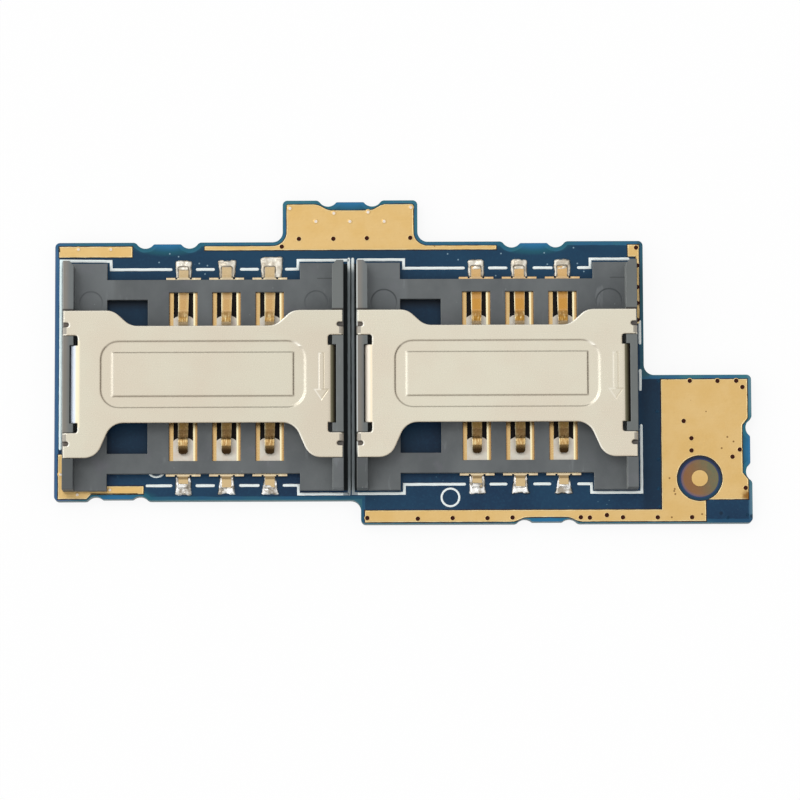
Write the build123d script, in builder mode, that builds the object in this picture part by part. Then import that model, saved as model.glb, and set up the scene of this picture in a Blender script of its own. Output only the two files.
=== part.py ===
"""Circuit board with two mini-card sockets side by side, all lengths in millimetres.

The origin is at the middle of the board's outline on its underside, +X to the right along the
board, +Y towards the tab, +Z up.  The cards slide in from the +Y side under the metal covers.
"""
import os
from build123d import *
from math import isclose, sqrt

os.makedirs("parts", exist_ok=True)

# The card that the sockets take, and the room it is given
CARD_WIDTH = 15.0
CARD_THICKNESS = 0.76
CARD_SIDE_CLEARANCE = 0.08
CARD_TOP_CLEARANCE = 0.14

# Board and the bare copper on it
BOARD_THICKNESS = 0.8
COPPER_HEIGHT = 0.03
WEST_MARGIN = 0.545
EAST_MARGIN = 0.42
NORTH_MARGIN = 1.04
SOUTH_MARGIN = 0.29
SOCKET_GAP = 0.77
TAB_START = 13.42
TAB_WIDTH = 7.95
TAB_DEPTH = 2.48
WING_WIDTH = 6.3
WING_LENGTH = 8.74
STRIP_START = 18.0
STRIP_DEPTH = 1.41
INNER_CORNER_RADIUS = 0.6
OUTER_CORNER_RADIUS = 0.28

# Scallops left where the board was broken out of its panel, always two at a site
BITE_RADIUS = 0.6
BITE_PITCH = 2.6
UPPER_LEFT_SITE = 6.62
UPPER_RIGHT_SITE = 28.22
LOWER_LEFT_SITE = 3.74
LOWER_RIGHT_SITE = 28.9
EAST_SITE = 4.3
BITE_DEPTH = 0.36
SHALLOW_BITE_DEPTH = 0.27
STUB_DEPTH = 0.1
BITE_SHOULDER_RADIUS = 0.3
STUB_CORNER_RADIUS = 0.12

# Bare copper areas
MASK_MARGIN = 0.24
COPPER_CORNER_RADIUS = 0.1
COPPER_SWEEP_RADIUS = 0.9
THIN_STRIP_WIDTH = 0.23
WEST_THIN_STRIP = 4.84
EAST_THIN_STRIP = 4.89
UPPER_LEFT_PAD_LENGTH = 4.3
UPPER_LEFT_PAD_WIDTH = 0.63
CORNER_PAD_LENGTH = 5.0
CORNER_PAD_RISE = 2.6
CORNER_PAD_WIDTH = 0.73
CORNER_PAD_TOE = 1.65
CORNER_PAD_TOE_DROP = 0.28
UPPER_RIGHT_PAD_LENGTH = 0.64
UPPER_RIGHT_PAD_WIDTH = 0.69
UPPER_RIGHT_TAIL_WIDTH = 0.2
UPPER_RIGHT_TAIL_LENGTH = 3.98
FIELD_WIDTH = 5.06
FIELD_TOP_MARGIN = 0.27
FIELD_WAIST = 0.33
FIELD_WAIST_START = 2.58
FIELD_WAIST_END = 5.8
FIELD_WAIST_SLOPE = 0.4
LOWER_STRIP_WIDTH = 0.68
LOWER_STRIP_MARGIN = 0.1
BARE_CORNER_WIDTH = 2.74
BARE_CORNER_HEIGHT = 1.38
MARK_FROM_EAST = 3.08
MARK_FROM_SOUTH = 2.62
MARK_DOT_DIAMETER = 0.96
MARK_RING_DIAMETER = 2.7

# Moulded housing
FLOOR_THICKNESS = 0.42
RAIL_WIDTH = 0.65
HOUSING_LENGTH = 13.48
BODY_LENGTH = 11.48
BLOCK_WIDTH = 2.56
WINDOW_WIDTH = 2.39
WINDOW_LENGTH = 9.11
LEAD_IN_WIDTH = 0.25
LEAD_IN_LENGTH = 0.3
ENTRY_RAMP_LENGTH = 0.9
ENTRY_RAMP_DROP = 0.14

# Sheet-metal cover
COVER_SHEET = 0.15
COVER_SIDE_GAP = 0.06
FLANGE_SETBACK = 0.04
BAND_LENGTH = 5.72
LOBE_LENGTH = 8.69
LOBE_OFFSET = -0.57
NORTH_SHOULDER_INNER = 4.25
NORTH_SHOULDER_OUTER = 5.25
SOUTH_SHOULDER_INNER = 5.35
SOUTH_SHOULDER_OUTER = 6.25
SHOULDER_RADIUS = 1.05
FLANGE_BEND_RADIUS = 0.45
FLAP_BEND_RADIUS = 0.25
TAB_LENGTH = 0.54
TAB_SPACING = 5.16
NOTCH_CORNER_RADIUS = 0.15
SMALL_NOTCH_WIDTH = 0.28
SMALL_NOTCH_DEPTH = 0.33
SMALL_NOTCH_SPACING = 7.02
FLAP_DROP = 1.0
EMBOSS_WIDTH = 12.06
EMBOSS_LENGTH = 4.01
EMBOSS_RADIUS = 1.1
PLATEAU_WIDTH = 10.5
PLATEAU_LENGTH = 2.48
EMBOSS_DEPTH = 0.07
EMBOSS_SLOPE = 55
FIT = 0.03

# Stamped spring contacts
CONTACT_SHEET = 0.12
CONTACT_LIFT = 0.08
CONTACT_PITCH = 2.54
CONTACT_COLUMNS = 3
CONTACT_OFFSET = 1.35
ROW_SPACING = 7.24
CAVITY_WIDTH = 1.67
CAVITY_LENGTH = 2.75
CONTACT_EMBED = 0.25
BAR_WIDTH = 2.04
BAR_DEPTH = 0.35
BAR_PROUD = 0.15
RELIEF_WIDTH = 0.12
RELIEF_DEPTH = 0.09
SLOT_WIDTH = 0.25
SLOT_UNDERCUT = 0.1
ARCH_RADIUS = 0.9
ARCH_APEX = 0.055
TONGUE_WIDTH = 0.64
TONGUE_TIP_WIDTH = 0.55
TONGUE_TIP_RADIUS = 0.18
TONGUE_ROOT_GAP = 0.03
TONGUE_BEND_AT = 0.2
TONGUE_BEND_RISE = 0.33
CREST_AT = -0.3
CREST_RISE = 0.85
CREST_RADIUS = 0.3
TIP_END = -0.97
TIP_RISE = 0.27
TONGUE_BEND_RADIUS = 0.14
NECK_WIDTH = 0.74
TAIL_WIDTH = 0.56
TAIL_RUN_IN = 0.1
TAIL_SHOULDER = 0.03
TAIL_SLOPE = 0.14
TAIL_LENGTH = 0.64

# Solder at each tail
SOLDER_WIDTH = 1.02
SOLDER_OVERRUN = 0.46
SOLDER_START = 0.04
SOLDER_SLOPE = 43

# Heights
COPPER_TOP = BOARD_THICKNESS + COPPER_HEIGHT
FLOOR_TOP = COPPER_TOP + FLOOR_THICKNESS
CARD_SLOT_HEIGHT = CARD_THICKNESS + CARD_TOP_CLEARANCE
COVER_UNDERSIDE = FLOOR_TOP + CARD_SLOT_HEIGHT
COVER_TOP = COVER_UNDERSIDE + COVER_SHEET
COVER_MID = COVER_UNDERSIDE + COVER_SHEET / 2
CONTACT_BOTTOM = COPPER_TOP + CONTACT_LIFT
CONTACT_MID = CONTACT_BOTTOM + CONTACT_SHEET / 2
FOOT_MID = COPPER_TOP + CONTACT_SHEET / 2
FOOT_TOP = COPPER_TOP + CONTACT_SHEET

# Plan of the housing about its own middle
CHANNEL_WIDTH = CARD_WIDTH + 2 * CARD_SIDE_CLEARANCE
HOUSING_WIDTH = CHANNEL_WIDTH + 2 * RAIL_WIDTH
RAIL_X = (HOUSING_WIDTH - RAIL_WIDTH) / 2
BLOCK_X = (HOUSING_WIDTH - BLOCK_WIDTH) / 2
WINDOW_X = -HOUSING_WIDTH / 2 + BLOCK_WIDTH + WINDOW_WIDTH / 2
SOLDER_REACH = BODY_LENGTH / 2 + BAR_PROUD + TAIL_LENGTH + SOLDER_OVERRUN
SOCKET_REACH = max(HOUSING_LENGTH / 2, SOLDER_REACH)

# Plan of the board, worked out from the sockets that stand on it
UPPER_WIDTH = WEST_MARGIN + 2 * HOUSING_WIDTH + SOCKET_GAP + EAST_MARGIN
BOARD_WIDTH = UPPER_WIDTH + WING_WIDTH
BOARD_LENGTH = TAB_DEPTH + NORTH_MARGIN + 2 * SOCKET_REACH + SOUTH_MARGIN + STRIP_DEPTH
WEST = -BOARD_WIDTH / 2
EAST = BOARD_WIDTH / 2
NORTH = BOARD_LENGTH / 2
SOUTH = -BOARD_LENGTH / 2
SHOULDER_Y = NORTH - TAB_DEPTH
UPPER_EAST = WEST + UPPER_WIDTH
WING_TOP = SOUTH + WING_LENGTH
STRIP_X = WEST + STRIP_START
STRIP_TOP = SOUTH + STRIP_DEPTH
TAB_WEST = WEST + TAB_START
TAB_EAST = TAB_WEST + TAB_WIDTH
TAB_X = (TAB_WEST + TAB_EAST) / 2
SOCKET_Y = SHOULDER_Y - NORTH_MARGIN - SOCKET_REACH
LEFT_SOCKET_X = WEST + WEST_MARGIN + HOUSING_WIDTH / 2
RIGHT_SOCKET_X = LEFT_SOCKET_X + HOUSING_WIDTH + SOCKET_GAP
SOCKETS = {"left": LEFT_SOCKET_X, "right": RIGHT_SOCKET_X}


def save(piece, label, x=0.0, y=0.0):
    """Place a finished piece, label it and write it to its own file."""
    with BuildPart() as placed:
        with Locations((x, y)):
            add(piece)
    placed.part.label = label
    export_step(placed.part, f"parts/{label}.step")


# Sites of the scallops: middle, direction out of the board, depth
BREAK_SITES = (
    (WEST + UPPER_LEFT_SITE, SHOULDER_Y, Vector(0, 1), BITE_DEPTH),
    (TAB_X, NORTH, Vector(0, 1), BITE_DEPTH),
    (WEST + UPPER_RIGHT_SITE, SHOULDER_Y, Vector(0, 1), BITE_DEPTH),
    (EAST, SOUTH + EAST_SITE, Vector(1, 0), BITE_DEPTH),
    (WEST + LOWER_RIGHT_SITE, SOUTH, Vector(0, -1), SHALLOW_BITE_DEPTH),
    (WEST + LOWER_LEFT_SITE, STRIP_TOP, Vector(0, -1), SHALLOW_BITE_DEPTH),
)


def site_distance(vertex):
    """Distance of a vertex of the outline from the middle of the nearest break-off site."""
    return min((Vector(vertex.X, vertex.Y) - Vector(x, y)).length for x, y, outwards, depth in BREAK_SITES)


# Circuit board: stepped outline with the scallops of its six break-off sites
with BuildPart() as board:
    with BuildSketch() as board_outline:
        with BuildLine():
            FilletPolyline(
                (WEST, SHOULDER_Y),
                (TAB_WEST, SHOULDER_Y),
                (TAB_WEST, NORTH),
                (TAB_EAST, NORTH),
                (TAB_EAST, SHOULDER_Y),
                (UPPER_EAST, SHOULDER_Y),
                (UPPER_EAST, WING_TOP),
                (EAST, WING_TOP),
                (EAST, SOUTH),
                (STRIP_X, SOUTH),
                (STRIP_X, STRIP_TOP),
                (WEST, STRIP_TOP),
                radius=[
                    OUTER_CORNER_RADIUS,
                    INNER_CORNER_RADIUS,
                    OUTER_CORNER_RADIUS,
                    OUTER_CORNER_RADIUS,
                    INNER_CORNER_RADIUS,
                    OUTER_CORNER_RADIUS,
                    INNER_CORNER_RADIUS,
                    OUTER_CORNER_RADIUS,
                    OUTER_CORNER_RADIUS,
                    OUTER_CORNER_RADIUS,
                    INNER_CORNER_RADIUS,
                    OUTER_CORNER_RADIUS,
                ],
                close=True,
            )
        make_face()
        for site_x, site_y, outwards, depth in BREAK_SITES:
            along = outwards.rotate(Axis.Z, 90)
            middle = Vector(site_x, site_y)
            bite_centre = middle + outwards * (BITE_RADIUS - depth)
            with Locations(bite_centre - along * BITE_PITCH / 2, bite_centre + along * BITE_PITCH / 2):
                Circle(BITE_RADIUS, mode=Mode.SUBTRACT)
            with Locations(middle):
                Rectangle(
                    abs(along.X) * BITE_PITCH + abs(outwards.X) * 2 * STUB_DEPTH,
                    abs(along.Y) * BITE_PITCH + abs(outwards.Y) * 2 * STUB_DEPTH,
                    mode=Mode.SUBTRACT,
                )
        stub_corners = board_outline.vertices().filter_by(lambda v: site_distance(v) < BITE_PITCH / 2)
        fillet(stub_corners, STUB_CORNER_RADIUS)
        shoulders = board_outline.vertices().filter_by(
            lambda v: BITE_PITCH / 2 < site_distance(v) < BITE_PITCH / 2 + BITE_RADIUS
        )
        fillet(shoulders, BITE_SHOULDER_RADIUS)
    extrude(amount=BOARD_THICKNESS)
save(board.part, "circuit_board")


def copper_area(label, corners, radii=0, hole=None):
    """Write one bare copper area from its corners, with an optional round hole (x, y, diameter)."""
    with BuildPart() as area:
        with BuildSketch(Plane.XY.offset(BOARD_THICKNESS)):
            with BuildLine():
                FilletPolyline(*corners, radius=radii, close=True)
            make_face()
            if hole:
                with Locations((hole[0], hole[1])):
                    Circle(hole[2] / 2, mode=Mode.SUBTRACT)
        extrude(amount=COPPER_HEIGHT)
    save(area.part, label)


# Tab area: fills the tab inside the mask margin and runs on as a thin strip on both sides
BITE_REACH = BITE_PITCH / 2 + BITE_RADIUS
THIN_TOP = SHOULDER_Y - MASK_MARGIN
THIN_BOTTOM = THIN_TOP - THIN_STRIP_WIDTH
TAB_PAD_TOP = NORTH - MASK_MARGIN
TAB_PAD_WAIST = NORTH - BITE_DEPTH - MASK_MARGIN
TAB_PAD_WEST = TAB_WEST + MASK_MARGIN
TAB_PAD_EAST = TAB_EAST - MASK_MARGIN
STRIP_WEST_END = TAB_PAD_WEST - WEST_THIN_STRIP
STRIP_EAST_END = TAB_PAD_EAST + EAST_THIN_STRIP
INNER_PAD_RADIUS = INNER_CORNER_RADIUS + MASK_MARGIN
copper_area(
    "ground_pad_tab",
    (
        (STRIP_WEST_END, THIN_TOP),
        (TAB_PAD_WEST, THIN_TOP),
        (TAB_PAD_WEST, TAB_PAD_TOP),
        (TAB_X - BITE_REACH, TAB_PAD_TOP),
        (TAB_X - BITE_PITCH / 2, TAB_PAD_WAIST),
        (TAB_X + BITE_PITCH / 2, TAB_PAD_WAIST),
        (TAB_X + BITE_REACH, TAB_PAD_TOP),
        (TAB_PAD_EAST, TAB_PAD_TOP),
        (TAB_PAD_EAST, THIN_TOP),
        (STRIP_EAST_END, THIN_TOP),
        (STRIP_EAST_END, THIN_BOTTOM),
        (STRIP_WEST_END, THIN_BOTTOM),
    ),
    [0, INNER_PAD_RADIUS, COPPER_CORNER_RADIUS]
    + 4 * [COPPER_SWEEP_RADIUS]
    + [COPPER_CORNER_RADIUS, INNER_PAD_RADIUS, 0, 0, 0],
)

# Upper left area: a plain bar beside the left socket
BAR_WEST = WEST + MASK_MARGIN
BAR_TOP = SHOULDER_Y - MASK_MARGIN
copper_area(
    "ground_pad_upper_left",
    (
        (BAR_WEST, BAR_TOP),
        (BAR_WEST + UPPER_LEFT_PAD_LENGTH, BAR_TOP),
        (BAR_WEST + UPPER_LEFT_PAD_LENGTH, BAR_TOP - UPPER_LEFT_PAD_WIDTH),
        (BAR_WEST, BAR_TOP - UPPER_LEFT_PAD_WIDTH),
    ),
)

# Lower left area: an angle round the corner, partly under the left housing
CORNER_WEST = WEST + MASK_MARGIN
CORNER_BOTTOM = STRIP_TOP + MASK_MARGIN / 2
CORNER_SHELF = CORNER_BOTTOM + CORNER_PAD_TOE_DROP
copper_area(
    "ground_pad_lower_left",
    (
        (CORNER_WEST, CORNER_BOTTOM + CORNER_PAD_RISE),
        (CORNER_WEST + CORNER_PAD_WIDTH, CORNER_BOTTOM + CORNER_PAD_RISE),
        (CORNER_WEST + CORNER_PAD_WIDTH, CORNER_BOTTOM + CORNER_PAD_WIDTH),
        (CORNER_WEST + CORNER_PAD_LENGTH, CORNER_BOTTOM + CORNER_PAD_WIDTH),
        (CORNER_WEST + CORNER_PAD_LENGTH, CORNER_SHELF),
        (CORNER_WEST + CORNER_PAD_TOE + CORNER_PAD_TOE_DROP, CORNER_SHELF),
        (CORNER_WEST + CORNER_PAD_TOE, CORNER_BOTTOM),
        (CORNER_WEST, CORNER_BOTTOM),
    ),
)

# Upper right area: a short block with a thin tail down the edge
SLIM_EAST = UPPER_EAST - MASK_MARGIN
SLIM_TOP = SHOULDER_Y - MASK_MARGIN
SLIM_STEP = SLIM_TOP - UPPER_RIGHT_PAD_WIDTH
copper_area(
    "ground_pad_upper_right",
    (
        (SLIM_EAST - UPPER_RIGHT_PAD_LENGTH, SLIM_TOP),
        (SLIM_EAST, SLIM_TOP),
        (SLIM_EAST, SLIM_STEP - UPPER_RIGHT_TAIL_LENGTH),
        (SLIM_EAST - UPPER_RIGHT_TAIL_WIDTH, SLIM_STEP - UPPER_RIGHT_TAIL_LENGTH),
        (SLIM_EAST - UPPER_RIGHT_TAIL_WIDTH, SLIM_STEP),
        (SLIM_EAST - UPPER_RIGHT_PAD_LENGTH, SLIM_STEP),
    ),
)

# Right area: a broad field round the alignment mark, and a strip along the lower edge
FIELD_EAST = EAST - MASK_MARGIN
FIELD_WEST = FIELD_EAST - FIELD_WIDTH
FIELD_TOP = WING_TOP - FIELD_TOP_MARGIN
WAIST_TOP = WING_TOP - FIELD_WAIST_START
WAIST_BOTTOM = WING_TOP - FIELD_WAIST_END
LOWER_BOTTOM = SOUTH + LOWER_STRIP_MARGIN
LOWER_TOP = LOWER_BOTTOM + LOWER_STRIP_WIDTH
BITE_SITE_X = WEST + LOWER_RIGHT_SITE
MARK_X = EAST - MARK_FROM_EAST
MARK_Y = SOUTH + MARK_FROM_SOUTH
copper_area(
    "ground_pad_right",
    (
        (FIELD_WEST, FIELD_TOP),
        (FIELD_EAST, FIELD_TOP),
        (FIELD_EAST, WAIST_TOP),
        (FIELD_EAST - FIELD_WAIST, WAIST_TOP - FIELD_WAIST_SLOPE),
        (FIELD_EAST - FIELD_WAIST, WAIST_BOTTOM),
        (FIELD_EAST, WAIST_BOTTOM - FIELD_WAIST_SLOPE),
        (FIELD_EAST, SOUTH + BARE_CORNER_HEIGHT),
        (EAST - BARE_CORNER_WIDTH, SOUTH + BARE_CORNER_HEIGHT),
        (EAST - BARE_CORNER_WIDTH, LOWER_BOTTOM),
        (BITE_SITE_X + BITE_REACH, LOWER_BOTTOM),
        (BITE_SITE_X + BITE_PITCH / 2, LOWER_BOTTOM + SHALLOW_BITE_DEPTH),
        (BITE_SITE_X - BITE_PITCH / 2, LOWER_BOTTOM + SHALLOW_BITE_DEPTH),
        (BITE_SITE_X - BITE_REACH, LOWER_BOTTOM),
        (STRIP_X + MASK_MARGIN, LOWER_BOTTOM),
        (STRIP_X + MASK_MARGIN, LOWER_TOP),
        (FIELD_WEST, LOWER_TOP),
    ),
    9 * [0] + 4 * [COPPER_SWEEP_RADIUS] + 3 * [0],
    hole=(MARK_X, MARK_Y, MARK_RING_DIAMETER),
)

# Alignment mark: a round copper dot in the middle of the field's hole
with BuildPart() as mark:
    with BuildSketch(Plane.XY.offset(BOARD_THICKNESS)):
        with Locations((MARK_X, MARK_Y)):
            Circle(MARK_DOT_DIAMETER / 2)
    extrude(amount=COPPER_HEIGHT)
save(mark.part, "alignment_mark")


# Places of the contact cavities about the middle of a housing, and the way each tail leaves
CONTACT_PLACES = []
for outwards_y in (1, -1):
    for column in range(CONTACT_COLUMNS):
        contact_x = CONTACT_OFFSET + (column - (CONTACT_COLUMNS - 1) / 2) * CONTACT_PITCH
        CONTACT_PLACES.append((contact_x, outwards_y * ROW_SPACING / 2, outwards_y))

# Sizes of a contact about the middle of its cavity
CAVITY_END = CAVITY_LENGTH / 2
HOUSING_FACE = (BODY_LENGTH - ROW_SPACING) / 2
BAR_EDGE = HOUSING_FACE + BAR_PROUD
OPENING_WIDTH = TONGUE_WIDTH + 2 * SLOT_WIDTH


def contact_blank(outwards):
    """Plan of the flat sheet of a contact: the plate in the cavity and the bar at the housing face."""
    inner_end = -outwards * (CAVITY_END + CONTACT_EMBED)
    outer_end = outwards * BAR_EDGE
    with BuildSketch() as blank:
        with Locations((0, (inner_end + outer_end) / 2)):
            Rectangle(CAVITY_WIDTH, abs(outer_end - inner_end))
        with Locations((0, outer_end - outwards * BAR_DEPTH / 2)):
            Rectangle(BAR_WIDTH, BAR_DEPTH)
    return blank.sketch


# Opening in the sheet under the tongue, down to an arched edge that the tongue's tip passes over
with BuildSketch() as opening:
    arch_foot = ARCH_APEX - ARCH_RADIUS + sqrt(ARCH_RADIUS**2 - (OPENING_WIDTH / 2) ** 2)
    root_end = CAVITY_END + SLOT_UNDERCUT
    with Locations((0, (root_end + arch_foot) / 2)):
        Rectangle(OPENING_WIDTH, root_end - arch_foot)
    with Locations((0, ARCH_APEX - ARCH_RADIUS)):
        Circle(ARCH_RADIUS, mode=Mode.SUBTRACT)

# Spring tongue: rises from the north edge of the opening to its crest and dips at the tip
with BuildPart() as tongue:
    tongue_start = root_end + (CONTACT_EMBED - SLOT_UNDERCUT) / 2
    with BuildSketch(Plane.YZ):
        with BuildLine():
            FilletPolyline(
                (tongue_start, CONTACT_MID),
                (CAVITY_END - TONGUE_ROOT_GAP, CONTACT_MID),
                (TONGUE_BEND_AT, CONTACT_MID + TONGUE_BEND_RISE),
                (CREST_AT, CONTACT_MID + CREST_RISE),
                (TIP_END, CONTACT_MID + TIP_RISE),
                radius=[0, TONGUE_BEND_RADIUS, CREST_RADIUS],
            )
        trace(line_width=CONTACT_SHEET)
    extrude(amount=TONGUE_WIDTH / 2, both=True)
    with BuildSketch():
        with BuildLine():
            half_width = TONGUE_WIDTH / 2
            half_tip = TONGUE_TIP_WIDTH / 2
            FilletPolyline(
                (half_width, tongue_start),
                (half_tip, TIP_END),
                (-half_tip, TIP_END),
                (-half_width, tongue_start),
                radius=[0, TONGUE_TIP_RADIUS, TONGUE_TIP_RADIUS, 0],
                close=True,
            )
        make_face()
    extrude(amount=COVER_TOP, mode=Mode.INTERSECT)


def contact_piece(outwards):
    """One stamped contact about the middle of its cavity, with its tail leaving outwards."""
    with BuildPart() as contact:
        with BuildSketch(Plane.XY.offset(CONTACT_BOTTOM)):
            add(contact_blank(outwards))
            add(opening.sketch, mode=Mode.SUBTRACT)
            with Locations(
                ((NECK_WIDTH + RELIEF_WIDTH) / 2, outwards * BAR_EDGE),
                (-(NECK_WIDTH + RELIEF_WIDTH) / 2, outwards * BAR_EDGE),
            ):
                Rectangle(RELIEF_WIDTH, 2 * RELIEF_DEPTH, mode=Mode.SUBTRACT)
        extrude(amount=CONTACT_SHEET)
        add(tongue.part)
        with BuildSketch(Plane.YZ):
            with BuildLine():
                Polyline(
                    (outwards * (BAR_EDGE - TAIL_RUN_IN), CONTACT_MID),
                    (outwards * (BAR_EDGE + TAIL_SHOULDER), CONTACT_MID),
                    (outwards * (BAR_EDGE + TAIL_SHOULDER + TAIL_SLOPE), FOOT_MID),
                    (outwards * (BAR_EDGE + TAIL_LENGTH), FOOT_MID),
                )
            trace(line_width=CONTACT_SHEET)
        extrude(amount=TAIL_WIDTH / 2, both=True)
    return contact.part


def solder_joint(outwards, contact):
    """Solder round the foot of a tail: sloping sides up to the height of the foot."""
    start = BAR_EDGE + SOLDER_START
    foot_end = BAR_EDGE + TAIL_LENGTH
    with BuildPart() as solder:
        with BuildSketch(Plane.XY.offset(BOARD_THICKNESS)):
            with Locations((0, outwards * (start + foot_end + SOLDER_OVERRUN) / 2)):
                Rectangle(SOLDER_WIDTH, foot_end + SOLDER_OVERRUN - start)
        extrude(amount=FOOT_TOP - BOARD_THICKNESS, taper=SOLDER_SLOPE)
        add(contact, mode=Mode.SUBTRACT)
    return solder.part


CONTACTS = {outwards: contact_piece(outwards) for outwards in (1, -1)}
SOLDERS = {outwards: solder_joint(outwards, CONTACTS[outwards]) for outwards in (1, -1)}

# Plan of the cover's folds and of the seats that the housing gives them
FLANGE_OUTER = CHANNEL_WIDTH / 2 + FLANGE_SETBACK + COVER_SHEET
FOLD_X = FLANGE_OUTER - FLANGE_BEND_RADIUS
FLAP_FOLD_X = HOUSING_WIDTH / 2 - FLAP_BEND_RADIUS
POCKET_WALL = FLANGE_OUTER + FIT
TAB_INNER = (TAB_SPACING - TAB_LENGTH) / 2
TAB_OUTER = (TAB_SPACING + TAB_LENGTH) / 2
FLANGE_HALF = TAB_INNER - FIT
FLAP_START = TAB_OUTER + FIT
FLAP_END = (SMALL_NOTCH_SPACING - SMALL_NOTCH_WIDTH) / 2
FLAP_BOTTOM = COVER_TOP - FLAP_DROP
FLANGE_BOTTOM = FLOOR_TOP + FIT

# Moulded housing about its own middle: floor, two rails and the seats for the cover
with BuildPart() as housing:
    with BuildSketch(Plane.XY.offset(COPPER_TOP)):
        Rectangle(HOUSING_WIDTH, BODY_LENGTH)
        with Locations((-BLOCK_X, 0), (BLOCK_X, 0)):
            Rectangle(BLOCK_WIDTH, HOUSING_LENGTH)
        with Locations((WINDOW_X, 0)):
            Rectangle(WINDOW_WIDTH, WINDOW_LENGTH, mode=Mode.SUBTRACT)
    extrude(amount=FLOOR_THICKNESS)

    # Ramp on the north end of each block, where the card enters
    with BuildSketch(Plane.YZ.offset(-HOUSING_WIDTH / 2)):
        with BuildLine():
            Polyline(
                (HOUSING_LENGTH / 2, FLOOR_TOP),
                (HOUSING_LENGTH / 2 - ENTRY_RAMP_LENGTH, FLOOR_TOP),
                (HOUSING_LENGTH / 2, FLOOR_TOP - ENTRY_RAMP_DROP),
                close=True,
            )
        make_face()
    extrude(amount=HOUSING_WIDTH, mode=Mode.SUBTRACT)

    # Rails with a lead-in at their north ends and a pocket for each flange of the cover
    with BuildSketch(Plane.XY.offset(FLOOR_TOP - ENTRY_RAMP_DROP)):
        with Locations((-RAIL_X, 0), (RAIL_X, 0)):
            Rectangle(RAIL_WIDTH, HOUSING_LENGTH)
        for side in (-1, 1):
            channel_x = side * CHANNEL_WIDTH / 2
            with BuildLine():
                Polyline(
                    (channel_x, HOUSING_LENGTH / 2),
                    (channel_x + side * LEAD_IN_WIDTH, HOUSING_LENGTH / 2),
                    (channel_x, HOUSING_LENGTH / 2 - LEAD_IN_LENGTH),
                    close=True,
                )
            make_face(mode=Mode.SUBTRACT)
        with Locations(
            (-(CHANNEL_WIDTH / 2 + POCKET_WALL) / 2, LOBE_OFFSET),
            ((CHANNEL_WIDTH / 2 + POCKET_WALL) / 2, LOBE_OFFSET),
        ):
            Rectangle(POCKET_WALL - CHANNEL_WIDTH / 2, 2 * TAB_INNER, mode=Mode.SUBTRACT)
    extrude(amount=COVER_TOP - FLOOR_TOP + ENTRY_RAMP_DROP)

    # Seats that the four lobes of the cover lie on, between the tabs and the rail ends
    seat_end = LOBE_LENGTH / 2 + FIT
    with BuildSketch(Plane.XY.offset(COVER_UNDERSIDE)):
        for end in (-1, 1):
            with Locations((0, LOBE_OFFSET + end * (TAB_OUTER + seat_end) / 2)):
                Rectangle(HOUSING_WIDTH, seat_end - TAB_OUTER)
    extrude(amount=COVER_SHEET, mode=Mode.SUBTRACT)

    # Recesses in the outer faces of the rails for the four flaps of the cover
    with BuildSketch(Plane.XY.offset(FLAP_BOTTOM - FIT)):
        recess_inner = FLAP_FOLD_X - FIT
        for side in (-1, 1):
            for end in (-1, 1):
                with Locations(
                    (
                        side * (recess_inner + HOUSING_WIDTH / 2) / 2,
                        LOBE_OFFSET + end * (TAB_OUTER + FLAP_END + FIT) / 2,
                    )
                ):
                    Rectangle(HOUSING_WIDTH / 2 - recess_inner, FLAP_END + FIT - TAB_OUTER)
    extrude(amount=FLAP_DROP, mode=Mode.SUBTRACT)

    # Cavity for each contact, whose ends are moulded into the floor
    with BuildSketch(Plane.XY.offset(COPPER_TOP)):
        with Locations(*[(x, y) for x, y, outwards in CONTACT_PLACES]):
            Rectangle(CAVITY_WIDTH, CAVITY_LENGTH)
    extrude(amount=FLOOR_THICKNESS, mode=Mode.SUBTRACT)
    with BuildSketch(Plane.XY.offset(CONTACT_BOTTOM)):
        for x, y, outwards in CONTACT_PLACES:
            with Locations((x, y)):
                add(contact_blank(outwards))
    extrude(amount=CONTACT_SHEET, mode=Mode.SUBTRACT)

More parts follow.
